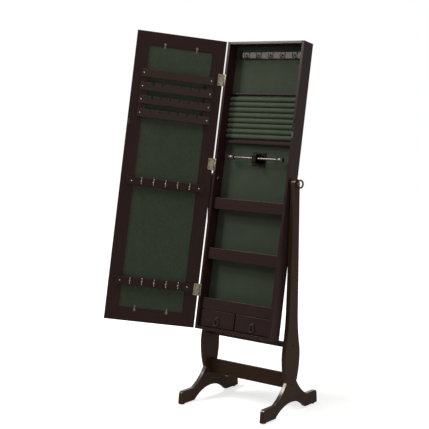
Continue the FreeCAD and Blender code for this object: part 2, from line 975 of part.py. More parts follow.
def strip_base(i):
    """Lower edge of one earring strip, counted from the bottom."""
    return rack_base + i * rack_pitch


def earring_strip(i, notched):
    """Strip across the cleats, notched along its top edge for earring hooks."""
    half = rack_width / 2
    front = door_inner + cleat_board
    back = front + rack_strip_board
    top = strip_base(i) + rack_strip_height
    strip = box(-half, half, front, back, strip_base(i), top)
    if not notched:
        return strip
    notches = [
        box(
            x - notch_width / 2,
            x + notch_width / 2,
            front - overrun,
            back + overrun,
            top - notch_depth,
            top + overrun,
        )
        for x in spread(notch_count, notch_pitch)
    ]
    return strip.cut(notches)


def necklace_rail(base):
    """Board across the door for the necklace hooks."""
    half = necklace_rail_width / 2
    return box(-half, half, door_inner, door_inner + necklace_rail_board, base, base + necklace_rail_height)


def necklace_hooks():
    """Hooks along both necklace rails."""
    face = door_inner + necklace_rail_board
    return [
        wire_hook(x, face, base + necklace_rail_height / 2 + hook_lift, 1)
        for base in necklace_rail_bases
        for x in spread(hook_count, necklace_hook_pitch)
    ]


def add_stand():
    """Two sides with their feet and knobs, joined by the stretchers."""
    for side, name in ((-1, "left"), (1, "right")):
        add(name + "_upright", upright(side), standing)
        add(name + "_foot", foot(side), standing)
        add(name + "_tilt_knob", tilt_knob(side), standing)
    add("lower_stretcher", stretcher(lower_stretcher_centre, lower_stretcher_height), standing)
    add("upper_stretcher", stretcher(upper_stretcher_centre, upper_stretcher_height), standing)
    add("stretcher_bolts", stretcher_bolts(), standing)
    add("foot_glides", foot_glides(), standing)


def add_cabinet():
    """Carcase and everything fixed inside it, leaning back on the tilt axis."""
    add("cabinet_left_side", cabinet_side(-1), tilted)
    add("cabinet_right_side", cabinet_side(1), tilted)
    add("cabinet_top", cabinet_top(), tilted)
    add("cabinet_bottom", cabinet_bottom(), tilted)
    add("cabinet_back", cabinet_back(), tilted)
    add("cabinet_felt", cabinet_felt(), tilted)
    add("pivot_bushings", [pivot_bushing(side) for side in (-1, 1)], tilted)
    for name, base in shelf_bases.items():
        add(name + "_shelf", shelf(base), tilted)
        add(name + "_shelf_rail", shelf_rail(base), tilted)
    add("hook_rail", hook_rail(), tilted)
    add("rail_hooks", rail_hooks(), tilted)
    add("ring_tray", ring_tray(), tilted)
    add("ring_rolls", ring_rolls(), tilted)
    add("bracelet_bracket", bracelet_bracket(), tilted)
    add("bracelet_rod", bracelet_rod(), tilted)
    add("bracelet_knobs", [bracelet_knob(side) for side in (-1, 1)], tilted)
    add("drawer_divider", drawer_divider_board(), tilted)
    add("cabinet_hinge_leaves", cabinet_hinge_leaves(), tilted)
    add("hinge_pins", hinge_pins(), tilted)
    add("catch_plate", catch_block(0, -catch_plate), tilted)
    add("door_bumper", door_bumper(), tilted)


def add_drawers():
    """Two drawers shut in the bottom bay, with their pulls hanging."""
    for side, name in ((-1, "left"), (1, "right")):
        add(name + "_drawer_front", drawer_front_board(side), tilted)
        add(name + "_drawer_box", drawer_box(side), tilted)
        add(name + "_pull_mount", pull_mount(side), tilted)
        add(name + "_teardrop_pull", teardrop_pull(side), tilted)


def add_door():
    """Mirror door with its racks, rails and hooks, swung open."""
    frame = door_frame + door_lip_width
    add("door_hinge_stile", door_stile(-1), swung)
    add("door_free_stile", door_stile(1), swung)
    add("door_bottom_rail", door_rail(0, frame), swung)
    add("door_top_rail", door_rail(cabinet_height - frame, cabinet_height), swung)
    add("door_mirror", door_sheet(mirror_front, mirror_glass), swung)
    add("door_backing", door_sheet(backing_front, door_backing), swung)
    add("door_felt", door_sheet(door_felt_front, felt), swung)
    add("panel_clips", panel_clips(), swung)
    add("earring_cleats", earring_cleats(), swung)
    add("earring_top_strip", earring_strip(rack_strips - 1, False), swung)
    add("earring_strips", [earring_strip(i, True) for i in range(rack_strips - 1)], swung)
    add("necklace_rails", [necklace_rail(base) for base in necklace_rail_bases], swung)
    add("necklace_hooks", necklace_hooks(), swung)
    add("door_hinge_leaves", door_hinge_leaves(), swung)
    add("catch_magnet", catch_block(door_inner, catch_magnet), swung)


os.makedirs("parts", exist_ok=True)
add_stand()
add_cabinet()
add_drawers()
add_door()
export()
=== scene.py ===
"""Looks for the jewellery cheval mirror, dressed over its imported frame.

Pieces are drawn in three frames: the stand's, the leaning cabinet's and the open door's.
X runs to the right, Y to the back and Z up; the door is drawn shut in the cabinet's frame.
Sizes in the drawing code are millimetres, and each finished mesh is in metres.
"""
import json
import math

import bmesh
import bpy
from bpy.props import FloatProperty, FloatVectorProperty, IntProperty, PointerProperty
from mathutils import Matrix, Vector, noise


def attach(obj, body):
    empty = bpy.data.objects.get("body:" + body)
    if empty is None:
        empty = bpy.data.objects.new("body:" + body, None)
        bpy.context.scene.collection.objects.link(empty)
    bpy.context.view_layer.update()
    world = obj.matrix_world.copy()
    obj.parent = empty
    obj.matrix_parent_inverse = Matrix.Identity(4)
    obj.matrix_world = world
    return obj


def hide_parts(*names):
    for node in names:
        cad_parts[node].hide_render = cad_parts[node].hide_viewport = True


bl_info = {
    "name": "Jewellery cheval mirror",
    "version": (1, 0, 0),
    "blender": (4, 5, 0),
    "location": "View3D > Sidebar > Cheval Mirror",
    "description": "Dresses the frame of a jewellery cheval mirror with boards, felt, hardware and a studio",
    "category": "Object",
}

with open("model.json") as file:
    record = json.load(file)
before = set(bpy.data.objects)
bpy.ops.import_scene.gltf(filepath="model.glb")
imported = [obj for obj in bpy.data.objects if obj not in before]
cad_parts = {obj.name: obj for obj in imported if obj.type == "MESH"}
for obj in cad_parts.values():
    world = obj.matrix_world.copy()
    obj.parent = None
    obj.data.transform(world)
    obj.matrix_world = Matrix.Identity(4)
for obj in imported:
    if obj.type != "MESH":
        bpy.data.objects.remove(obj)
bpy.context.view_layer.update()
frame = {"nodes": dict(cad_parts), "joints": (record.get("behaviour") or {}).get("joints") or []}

METRE = 1000.0
FULL_TURN = 2 * math.pi
HALF_TURN = math.pi
QUARTER_TURN = math.pi / 2
SIDES = ((-1, "left"), (1, "right"))

# Places of the three frames, from the joints and the cabinet's pivot
CABINET_HEIGHT = 1184.0
PIVOT_SETBACK = 27.5
PIVOT_RISE = CABINET_HEIGHT * 0.5262
joints = {joint["name"]: joint for joint in frame["joints"]}
tilt_point = Vector(joints["cabinet_tilt"]["pos_m"])
hinge_axis = Vector(joints["door_swing"]["axis"])
lean = math.atan2(-hinge_axis.y, -hinge_axis.z)
door_open = math.radians(-joints["door_swing"]["range_deg"][0])
STAND = Matrix.Translation((tilt_point.x, tilt_point.y, 0))
CABINET = (
    Matrix.Translation(tilt_point)
    @ Matrix.Rotation(-lean, 4, "X")
    @ Matrix.Translation((0, -PIVOT_SETBACK / METRE, -PIVOT_RISE / METRE))
)
hinge_point = CABINET.inverted() @ Vector(joints["door_swing"]["pos_m"])
DOOR = (
    CABINET
    @ Matrix.Translation(hinge_point)
    @ Matrix.Rotation(-door_open, 4, "Z")
    @ Matrix.Translation(-hinge_point)
)
PLACES = {"stand": STAND, "cabinet": CABINET, "door": DOOR}


def linear(code):
    """Turn an sRGB hex colour into linear red, green and blue."""
    parts = [int(code[i : i + 2], 16) / 255 for i in (1, 3, 5)]
    return tuple(c / 12.92 if c <= 0.04045 else ((c + 0.055) / 1.055) ** 2.4 for c in parts)


def colour(name, description, code):
    """Colour setting, with its default as an sRGB hex value."""
    return FloatVectorProperty(name=name, description=description, subtype="COLOR", default=linear(code))


def length(name, description, default):
    """Length setting, with its default in metres."""
    return FloatProperty(name=name, description=description, default=default, unit="LENGTH", precision=5)


class ChevalColours(bpy.types.PropertyGroup):
    """Finishes that a user would change."""

    wood: colour("Wood", "Espresso stain in the grain", "#1f1211")
    wood_light: colour("Wood highlights", "Espresso stain between the grain", "#2a1a19")
    stand: colour("Stand", "Espresso stain of the stand in the grain", "#322219")
    stand_light: colour("Stand highlights", "Stand's stain between the grain", "#3c2b22")
    felt: colour("Felt", "Lining of cabinet and door", "#363c30")
    velvet: colour("Velvet", "Covers of the ring rolls", "#3f4638")
    brass: colour("Hinges", "Antique brass of the hinges", "#7b735e")
    nickel: colour("Hooks and screws", "Nickel plate", "#8f8780")
    gunmetal: colour("Pulls", "Dark cast metal of pulls and bolts", "#3b3634")
    pewter: colour("Tilt knobs", "Antique finish of the ring knobs", "#46423a")
    zinc: colour("Clips", "Dull zinc plate of the panel clips", "#60574f")


class ChevalSizes(bpy.types.PropertyGroup):
    """Small sizes that a user would change."""

    board_ease: length("Board edges", "Rounding of the board edges", 0.001)
    stand_ease: length("Stand edges", "Rounding of the stand's edges", 0.002)
    screw_radius: length("Screw heads", "Radius of the rack screws", 0.003)
    roll_unevenness: length("Roll unevenness", "How far the velvet wanders", 0.00045)
    round_steps: IntProperty(
        name="Round steps", description="Steps round a turned piece", default=40, min=12, max=96
    )


# Mesh tools

SMOOTH_BELOW = 35.0
DOME_ANGLES = (1.25, 0.85, 0.45)
AT_ORIGIN = [((0, 0, 0), (0, 0, 1))]


def placed(name, data):
    """New object in the scene."""
    thing = bpy.data.objects.new(name, data)
    bpy.context.scene.collection.objects.link(thing)
    return thing


def shaded(mesh, smooth):
    """Shade a mesh smooth between the edges that turn more sharply than an angle in degrees."""
    mesh.shade_smooth()
    mesh.set_sharp_from_angle(angle=math.radians(smooth))
    return mesh


def finished(shape, name, smooth=SMOOTH_BELOW):
    """Close a drawing: scale it to metres and shade it."""
    bmesh.ops.recalc_face_normals(shape, faces=shape.faces)
    bmesh.ops.scale(shape, vec=(1 / METRE,) * 3, verts=shape.verts)
    mesh = bpy.data.meshes.new(name)
    shape.to_mesh(mesh)
    shape.free()
    return shaded(mesh, smooth)


def faces_up(normal):
    """Whether a face looks upwards, where cloths and hands polish it."""
    return normal.z > 0.3 and abs(normal.x) < 0.5


def faces_aside(normal):
    """Whether a face is one of the broad sides of an upright board."""
    return abs(normal.x) > 0.7


def end_grain(normal):
    """Whether a face looks along a strip, as its notch walls and ends do, where painted shade darkens the
    notches.
    """
    return abs(normal.x) > 0.4


# Faces that each second finish covers
SECOND_FACES = {
    "polished": faces_up,
    "crown": faces_up,
    "waxed": faces_up,
    "side": faces_aside,
    # Painted shade on the notch walls and ends of the earring strips
    "dark_wood_and_painted_shade": end_grain,
}


def put(name, shape, place, finish, nodes=(), body=None, second=None, smooth=SMOOTH_BELOW):
    """Set a drawing or a mesh in its frame, on its body, with its finish and the nodes that it stands for.

    The body is the frame's own where none is named. A second finish covers the faces that it is for.
    """
    mesh = shape if isinstance(shape, bpy.types.Mesh) else finished(shape, name, smooth)
    thing = placed(name, mesh)
    thing.matrix_world = PLACES[place]
    mesh.materials.clear()
    mesh.materials.append(finishes[finish])
    if second:
        mesh.materials.append(finishes[second])
        for face in mesh.polygons:
            face.material_index = int(SECOND_FACES[second](face.normal))
    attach(thing, body or place)
    if nodes:
        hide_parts(*nodes)
    return thing


def flat_faces(thing):
    """Keep broad faces flat beside their rounded edges."""
    modifier = thing.modifiers.new("Flat faces", "WEIGHTED_NORMAL")
    modifier.keep_sharp = True


def ease_edges(shape, ease, segments=2, sharper_than=30.0):
    """Round every edge that turns more sharply than an angle in degrees."""
    bmesh.ops.recalc_face_normals(shape, faces=shape.faces)
    limit = math.radians(sharper_than)
    sharp = [edge for edge in shape.edges if edge.is_manifold and edge.calc_face_angle(0) > limit]
    round_edges(shape, sharp, ease, segments)


def round_edges(shape, edges, ease, segments):
    """Round the edges given."""
    bmesh.ops.bevel(
        shape, geom=edges, offset=ease, segments=segments, profile=0.5, affect="EDGES", clamp_overlap=True
    )


def node_shape(node, place, ease, segments=2):
    """Copy of a node's solid in its own frame, in millimetres, with its edges eased."""
    shape = bmesh.new()
    shape.from_mesh(frame["nodes"][node].data)
    shape.transform(PLACES[place].inverted())
    bmesh.ops.scale(shape, vec=(METRE,) * 3, verts=shape.verts)
    bmesh.ops.remove_doubles(shape, verts=shape.verts, dist=0.005)
    bmesh.ops.dissolve_limit(shape, angle_limit=math.radians(1), verts=shape.verts, edges=shape.edges)
    ease_edges(shape, ease, segments)
    return shape


def board(node, place, finish, ease, body=None, second=None):
    """Dress a flat piece as its own solid with eased edges."""
    shape = node_shape(node, place, ease)
    flat_faces(put(node + "_board", shape, place, finish, [node], body, second))


def boards(place, ease):
    """Dress every board of a frame that moves with it."""
    for finish, share, second, nodes in BOARDS[place]:
        for node in nodes:
            board(node, place, finish, ease * share, second=second)


def node_span(node, place):
    """Lowest and highest corner of a node in its own frame, in millimetres."""
    inverse = PLACES[place].inverted()
    corners = [inverse @ vertex.co * METRE for vertex in frame["nodes"][node].data.vertices]
    low = Vector([min(corner[i] for corner in corners) for i in range(3)])
    high = Vector([max(corner[i] for corner in corners) for i in range(3)])
    return low, high


def axis_turn(axis):
    """Rotation that carries Z to an axis."""
    return Vector((0, 0, 1)).rotation_difference(Vector(axis)).to_matrix().to_4x4()


def angles(sweep, steps, ends=0):
    """Even steps of a sweep from nought; ends is 1 to take in its last."""
    return [sweep * i / steps for i in range(steps + ends)]


def skin(shape, rings, closed=False):
    """Cover rings, or rings and single points, from one to the next.

    A closed run joins its last ring to its first, and an open one is capped.
    """
    steps = max(len(ring) for ring in rings)
    for low, high in list(zip(rings, rings[1:])) + ([(rings[-1], rings[0])] if closed else []):
        for i in range(steps):
            j = i + 1
            corners = [low[i % len(low)], low[j % len(low)], high[j % len(high)], high[i % len(high)]]
            shape.faces.new(list(dict.fromkeys(corners)))
    for ring in () if closed else (rings[0], rings[-1]):
        if len(ring) > 1:
            shape.faces.new(ring)


def lathe(shape, profile, centre, axis, steps, bored=False):
    """Turn a profile of (distance along the axis, radius) round the axis through centre.

    A bored piece is open along its axis.
    """
    turn = Matrix.Translation(centre) @ axis_turn(axis)
    rings = []
    for along, radius in profile:
        around = angles(FULL_TURN, steps) if radius else [0.0]
        points = [turn @ Vector((radius * math.cos(a), radius * math.sin(a), along)) for a in around]
        rings.append([shape.verts.new(point) for point in points])
    skin(shape, rings, bored)


def turned(profile, places, steps, bored=False):
    """Drawing of a turned profile at each (centre, axis)."""
    shape = bmesh.new()
    for centre, axis in places:
        lathe(shape, profile, centre, axis, steps, bored)
    return shape


def arc_points(start, end, bow, steps):
    """Points of an arc from start, without its end; it bows out to the right of its chord."""
    start, end = Vector(start), Vector(end)
    chord = end - start
    aside = Vector((chord.y, -chord.x)).normalized()
    half = chord.length / 2
    radius = (half * half + bow * bow) / (2 * bow)
    centre = (start + end) / 2 - aside * (radius - bow)
    sweep = 2 * math.asin(half / radius)
    return [tuple(centre + Matrix.Rotation(a, 2) @ (start - centre)) for a in angles(sweep, steps)]


def prism(shape, outline, x0, x1):
    """Board between two X planes with an outline of (y, z) points."""
    skin(shape, [[shape.verts.new((x, y, z)) for y, z in outline] for x in (x0, x1)])


def block(shape, low, high):
    """Six-sided block between two corners."""
    (x0, y0, z0), (x1, y1, z1) = low, high
    prism(shape, [(y0, z0), (y1, z0), (y1, z1), (y0, z1)], x0, x1)


def domed(sense, point, along, side, radius):
    """Stations of a bar's round end, from its tip."""
    spokes = [(math.sin(a), math.cos(a)) for a in DOME_ANGLES]
    return [(point + along * (sense * radius * s), along, side, radius * c) for s, c in spokes]


def tube(shape, path, radii, sides, closed=False):
    """Round bar along a path; an open one gets domed ends."""
    points = [Vector(point) for point in path]
    before = [points[-1 if closed else 0]] + points[:-1]
    after = points[1:] + [points[0 if closed else -1]]
    tangents = [(b - a).normalized() for a, b in zip(before, after)]
    helper = Vector((1, 0, 0)) if abs(tangents[0].x) < 0.9 else Vector((0, 1, 0))
    normal = tangents[0].cross(helper).normalized()
    stations = []
    for i, along in enumerate(tangents):
        if i:
            normal = tangents[i - 1].rotation_difference(along) @ normal
        stations.append((points[i], along, normal, radii[i]))
    if not closed:
        stations = domed(-1, *stations[0]) + stations + domed(1, *stations[-1])[::-1]
    rings = []
    for point, along, side, radius in stations:
        other = along.cross(side)
        around = [side * math.cos(a) + other * math.sin(a) for a in angles(FULL_TURN, sides)]
        rings.append([shape.verts.new(point + radius * spoke) for spoke in around])
    skin(shape, rings, closed)


def carved(shape, cutter, name):
    """Mesh of one drawing with another cut out of it."""
    body, tool = [placed(name, finished(each, name)) for each in (shape, cutter)]
    cut = body.modifiers.new("Cut", "BOOLEAN")
    cut.operation = "DIFFERENCE"
    cut.solver = "EXACT"
    cut.object = tool
    depsgraph = bpy.context.evaluated_depsgraph_get()
    result = bpy.data.meshes.new_from_object(body.evaluated_get(depsgraph))
    for thing in (body, tool):
        bpy.data.objects.remove(thing)
    result.name = name
    return shaded(result, SMOOTH_BELOW)


def merged(shape, part):
    """Add a drawing to another."""
    mesh = bpy.data.meshes.new("part")
    part.to_mesh(mesh)
    part.free()
    shape.from_mesh(mesh)
    bpy.data.meshes.remove(mesh)


def stamped(mesh, places):
    """Drawing with a copy of a mesh, drawn in metres along Z, at each (point, axis)."""
    shape = bmesh.new()
    for point, axis in places:
        part = bmesh.new()
        part.from_mesh(mesh)
        part.transform(Matrix.Translation(point) @ axis_turn(axis) @ Matrix.Scale(METRE, 4))
        merged(shape, part)
    return shape


def spread(count, pitch):
    """Places of a row about zero."""
    return [(i - (count - 1) / 2) * pitch for i in range(count)]


# Materials


def add_node(tree, kind, inputs=None, stops=(), **settings):
    """Add a shader node with its settings; an input is a value, or the node or output that feeds it.

    The stops of a colour ramp are (position, colour).
    """
    node = tree.nodes.new("ShaderNode" + kind)
    for key, value in settings.items():
        setattr(node, key, value)
    for i, (position, tone) in enumerate(stops):
        node.color_ramp.elements[i].position = position
        node.color_ramp.elements[i].color = rgba(tone)
    for socket, value in (inputs or {}).items():
        if isinstance(value, bpy.types.Node):
            value = value.outputs[0]
        if isinstance(value, bpy.types.NodeSocket):
            tree.links.new(value, node.inputs[socket])
        else:
            node.inputs[socket].default_value = value
    return node


def new_finish(name, recipe, *settings):
    """Material from a recipe, which gets object coordinates and settings.

    It returns the inputs of a principled shader, or a shader of its own.
    """
    finish = bpy.data.materials.new(name)
    finish.use_nodes = True
    tree = finish.node_tree
    tree.nodes.clear()
    coords = add_node(tree, "TexCoord").outputs["Object"]
    surface = recipe(tree, coords, *settings)
    if isinstance(surface, dict):
        surface = add_node(tree, "BsdfPrincipled", surface)
    add_node(tree, "OutputMaterial", {"Surface": surface})
    return finish


def per_metre(millimetres):
    """Scale of a pattern whose repeat is a real size in millimetres."""
    return METRE / millimetres


def rgba(tone):
    """Colour with full alpha."""
    return (*tone, 1.0)


def shade(tone, amount):
    """Colour made lighter or darker."""
    return tuple(min(1.0, channel * amount) for channel in tone)


GRAIN_ALONG = {"x": (0.02, 1.0, 1.0), "y": (1.0, 0.02, 1.0), "z": (1.0, 1.0, 0.02)}

# Least and most roughness, gloss, clear coat and open grain of each lacquer
LACQUERS = {
    "satin": (0.22, 0.32, 0.1, 0.0, 0.12),
    "fresh": (0.22, 0.3, 0.2, 0.0, 0.1),
    "rubbed": (0.4, 0.55, 0.04, 0.0, 0.12),
    "sprayed": (0.4, 0.55, 0.085, 0.0, 0.12),
    "smooth": (0.03, 0.06, 0.045, 0.0, 0.0),
    "waxed": (0.25, 0.35, 0.2, 0.0, 0.06),
    "polished": (0.2, 0.28, 0.5, 0.0, 0.03),
    "turned": (0.16, 0.2, 0.3, 0.4, 0.0),
}


def stained_lacquer(tree, coords, grain, kind, dark, light):
    """Stained birch under sprayed lacquer: near black, with faint long grain and a soft sheen."""
    low, high, shine, coat, relief = LACQUERS[kind]
    piece = add_node(tree, "ObjectInfo").outputs["Random"]
    apart = add_node(tree, "VectorMath", {0: coords, 1: piece}, operation="ADD")
    along = add_node(tree, "Mapping", {"Vector": apart, "Scale": GRAIN_ALONG[grain]})
    # Streaks and pores are several times coarser than birch has, so that they show
    grained = {"Vector": along, "Scale": per_metre(5), "Detail": 6.0, "Roughness": 0.6, "Distortion": 0.4}
    streaks = add_node(tree, "TexNoise", grained)
    pores = add_node(tree, "TexNoise", {"Vector": along, "Scale": per_metre(1.2), "Detail": 3.0})
    clouds = add_node(tree, "TexNoise", {"Vector": apart, "Scale": per_metre(90), "Detail": 2.0})
    stain = add_node(tree, "Mix", {"Factor": streaks, 6: rgba(dark), 7: rgba(light)}, data_type="RGBA")
    patch = add_node(tree, "MapRange", {"Value": clouds, "To Min": 0.82, "To Max": 1.18})
    tone = add_node(tree, "VectorMath", {0: stain.outputs[2], "Scale": patch}, operation="SCALE")
    return {
        "Base Color": tone,
        "Roughness": add_node(tree, "MapRange", {"Value": streaks, "To Min": low, "To Max": high}),
        "Normal": add_node(tree, "Bump", {"Height": pores, "Strength": relief, "Distance": 0.0004}),
        "IOR": 1.5,
        "Specular IOR Level": shine,
        "Specular Tint": (1.0, 0.92, 0.8, 1.0),
        "Coat Weight": coat,
        "Coat Roughness": 0.15,
    }


def stained_board(tree, coords):
    """Thin stained hardboard: flat brown with pressed fibre and no lacquer."""
    # Fibre is coarser than hardboard has, so that it shows
    fibre = add_node(tree, "TexNoise", {"Vector": coords, "Scale": per_metre(3), "Detail": 8.0})
    browns = ((0.0, linear("#2a1c17")), (1.0, linear("#46332a")))
    tone = add_node(tree, "ValToRGB", {"Fac": fibre}, browns)
    bump = add_node(tree, "Bump", {"Height": fibre, "Strength": 0.2, "Distance": 0.0003})
    return {"Base Color": tone, "Roughness": 0.75, "Normal": bump}


def cloth_finish(tree, coords, tone, fibre_mm, sheen, stretch, depth, paint_crease_shade=False):
    """Napped cloth: mottled, without gloss and pale at shallow angles; where asked, painted shade darkens it in
    its tucks.
    """
    along = add_node(tree, "Mapping", {"Vector": coords, "Scale": stretch})
    # Fibre is many times coarser than in the real nap, so that it shows
    napped = {"Vector": along, "Scale": per_metre(fibre_mm), "Detail": 5.0, "Roughness": 0.7}
    fibre = add_node(tree, "TexNoise", napped)
    patches = add_node(tree, "TexNoise", {"Vector": coords, "Scale": per_metre(55), "Detail": 3.0})
    greens = add_node(tree, "ValToRGB", {"Fac": fibre}, ((0.25, shade(tone, 0.6)), (0.75, shade(tone, 1.4))))
    level = add_node(tree, "MapRange", {"Value": patches, "To Min": 0.85, "To Max": 1.15})
    # Painted shade: a value drawn with the mesh darkens the cloth in its tucks.
    if paint_crease_shade:
        painted_crease_shade = add_node(tree, "Attribute", attribute_name="tuck").outputs["Fac"]
        level = add_node(tree, "Math", {0: level, 1: painted_crease_shade}, operation="MULTIPLY")
    return {
        "Base Color": add_node(tree, "VectorMath", {0: greens, "Scale": level}, operation="SCALE"),
        "Roughness": 0.95,
        "Specular IOR Level": 0.15,
        "Sheen Weight": sheen,
        "Sheen Roughness": 0.45,
        "Sheen Tint": rgba(shade(tone, 4.0)),
        "Normal": add_node(tree, "Bump", {"Height": fibre, "Strength": 0.5, "Distance": depth}),
    }


def metal_finish(tree, coords, light, dark, roughness, grain_mm, relief):
    """Plated or cast metal: darker in the hollows of its grain, with uneven gloss."""
    # Grain is coarser than the real plate or casting has, so that it shows
    grain = add_node(tree, "TexNoise", {"Vector": coords, "Scale": per_metre(grain_mm), "Detail": 4.0})
    gloss = {"Value": grain, "To Min": roughness + 0.1, "To Max": roughness - 0.08}
    return {
        "Base Color": add_node(tree, "ValToRGB", {"Fac": grain}, ((0.3, dark), (0.65, light))),
        "Metallic": 1.0,
        "Roughness": add_node(tree, "MapRange", gloss),
        "Normal": add_node(tree, "Bump", {"Height": grain, "Strength": relief, "Distance": 0.0002}),
    }


def silvered_glass(tree, coords):
    """Float glass silvered on its back: a clear, faintly green reflection."""
    waves = add_node(tree, "TexNoise", {"Vector": coords, "Scale": per_metre(240), "Detail": 1.0})
    gloss = add_node(tree, "MapRange", {"Value": waves, "To Min": 0.01, "To Max": 0.03})
    tints = ((0.0, linear("#dfe6e3")), (1.0, linear("#e6ecea")))
    tint = add_node(tree, "ValToRGB", {"Fac": waves}, tints)
    return {"Base Color": tint, "Metallic": 1.0, "Roughness": gloss}


def moulded_plastic(tree, coords):
    """Moulded polythene: dull black with a moulded texture."""
    # Grit is coarser than the mould's, so that it shows
    grit = add_node(tree, "TexNoise", {"Vector": coords, "Scale": per_metre(0.9), "Detail": 2.0})
    return {
        "Base Color": rgba(linear("#171412")),
        "Roughness": add_node(tree, "MapRange", {"Value": grit, "To Min": 0.45, "To Max": 0.6}),
        "Specular IOR Level": 0.15,
        "Normal": add_node(tree, "Bump", {"Height": grit, "Strength": 0.2, "Distance": 0.0002}),
    }


# Grain, lacquer, stain and the share of the stain's tone of each wood
WOODS = {
    "wood_x": ("x", "satin", "wood", 1.0),
    "wood_z": ("z", "satin", "wood", 1.0),
    "stand_x": ("x", "rubbed", "stand", 1.0),
    "stand_y": ("y", "rubbed", "stand", 1.0),
    "stand_z": ("z", "rubbed", "stand", 1.0),
    "polished": ("y", "polished", "stand", 1.0),
    "waxed": ("x", "waxed", "wood", 1.0),
    "crown": ("z", "waxed", "stand", 1.0),
    "fresh": ("x", "fresh", "wood", 1.0),
    "smooth": ("x", "smooth", "wood", 1.0),
    "side": ("z", "sprayed", "wood", 1.0),
    # A quarter of the tone: the bracelet bracket's darker wood, and painted shade in the notches of the earring
    # strips
    "dark_wood_and_painted_shade": ("z", "satin", "wood", 0.25),
    "turned": ("x", "turned", "wood", 1.0),
}

# Material, colour, its share on high and low spots, roughness, grain in millimetres and relief of each metal
METALS = {
    "brass": ("antique_brass_plate", "brass", 1.0, 0.35, 0.42, 3.0, 0.3),
    "nickel": ("nickel_plated_steel", "nickel", 1.0, 0.7, 0.24, 6.0, 0.05),
    "gunmetal": ("gunmetal_cast_zinc", "gunmetal", 1.0, 0.5, 0.4, 2.5, 0.2),
    "pewter": ("antique_pewter_casting", "pewter", 1.0, 0.5, 0.36, 3.0, 0.2),
    "zinc": ("dull_zinc_plate", "zinc", 1.0, 0.6, 0.5, 3.0, 0.1),
    # Painted reflection: the rail hooks are the door's nickel at a tenth of its tone, for the dark cabinet that
    # they mirror
    "black_nickel": ("black_nickel_plated_steel", "nickel", 0.1, 0.06, 0.14, 6.0, 0.05),
    # Gunmetal at a fifth of its tone, so that the bolts show as dark dots in their counterbores
    "black_oxide": ("black_oxide_steel", "gunmetal", 0.2, 0.1, 0.36, 2.5, 0.1),
}

finishes = {}


class CHEVAL_OT_finishes(bpy.types.Operator):
    """Make the materials"""

    bl_idname = "cheval.finishes"
    bl_label = "Finishes"

    def execute(self, context):
        colours = context.scene.cheval_colours
        for key, (grain, kind, stain, depth) in WOODS.items():
            # A wood at less than the stain's full tone is darkened, and also serves as painted shade in the
            # strips' notches
            name = ("espresso" if depth == 1 else "ebonised") + "_birch_" + kind + "_lacquer_" + grain
            dark, light = (shade(getattr(colours, part), depth) for part in (stain, stain + "_light"))
            finishes[key] = new_finish(name, stained_lacquer, grain, kind, dark, light)
        for key, (name, plate, high, low, *surface) in METALS.items():
            tone = getattr(colours, plate)
            finishes[key] = new_finish(name, metal_finish, shade(tone, high), shade(tone, low), *surface)
        for key, name, *recipe in (
            ("board", "stained_hardboard", stained_board),
            ("felt", "needled_green_felt", cloth_finish, colours.felt, 2.4, 0.25, (1, 1, 0.4), 0.0006),
            # The velvet takes the painted shade drawn into the rolls' tucks.
            ("velvet", "cut_pile_velvet", cloth_finish, colours.velvet, 2.0, 0.3, (0.25, 1, 1), 0.0005, True),
            ("mirror", "silvered_float_glass", silvered_glass),
            ("plastic", "moulded_black_polythene", moulded_plastic),
        ):
            finishes[key] = new_finish(name, *recipe)
        return {"FINISHED"}


# Boards

# Finish, share of the rounding, second finish and nodes of the boards in each frame
BOARDS = {
    "stand": (("stand_x", 1.0, None, ("lower_stretcher", "upper_stretcher")),),
    "cabinet": (
        ("wood_z", 1.0, "side", ("cabinet_left_side", "cabinet_right_side")),
        ("fresh", 1.0, None, ("cabinet_top",)),
        ("wood_x", 1.0, None, ("cabinet_bottom",)),
        ("wood_z", 0.4, None, ("cabinet_back",)),
        ("wood_x", 0.5, None, ("upper_shelf", "middle_shelf", "lower_shelf")),
        ("wood_x", 1.6, "waxed", ("upper_shelf_rail", "middle_shelf_rail", "lower_shelf_rail")),
        ("smooth", 1.2, "waxed", ("hook_rail",)),
        ("wood_z", 0.4, None, ("drawer_divider",)),
        ("wood_x", 0.7, None, ("ring_tray",)),
        # The bracelet bracket is the wood at a quarter of its tone
        ("dark_wood_and_painted_shade", 1.0, None, ("bracelet_bracket",)),
    ),
    "door": (
        ("wood_z", 0.3, None, ("door_hinge_stile", "door_free_stile")),
        ("wood_x", 0.3, None, ("door_bottom_rail", "door_top_rail")),
        ("board", 0.3, None, ("door_backing",)),
        ("mirror", 0.5, None, ("door_mirror",)),
        ("wood_z", 0.8, None, ("earring_cleats",)),
        ("fresh", 0.7, None, ("earring_top_strip",)),
        # The strips' notch walls and ends take painted shade, so the notches read dark
        ("fresh", 1.3, "dark_wood_and_painted_shade", ("earring_strips",)),
        ("wood_x", 1.2, None, ("necklace_rails",)),
    ),
}


# Stand

STAND_HALF = 210.0
STAND_INSIDE = 192.0
PIVOT_HEIGHT = 922.0
HEAD_RADIUS = 18.5
WAIST = (35, 130)
BULGE = (53, 232)
SHOULDER = (46, 285)
NECK = (31, 413)
TOE_SIDE = (196, 43)
TOE_TOP = (182, 57)
TOE_ROUND = 14 * (1 - math.cos(math.pi / 4))
INSTEP = (118, 57)
INSTEP_HOLLOW = 8.0
FOOT_HALF = 200
ARCH_HALF = 110
ARCH_RISE = 42.0
GLIDE_HEIGHT = 4
GLIDE_X = 201
GLIDE_Y = 178
BOLT_HEIGHTS = (115.5, 146.5, 276.0)
BOLT_RADIUS = 5.0
BOLT_ROOM = 0.3
BOLT_RECESS = 4.5
BOLT_HEAD = 3.5
SHANK_RADIUS = 3.0
SOCKET_RADIUS = 2.3

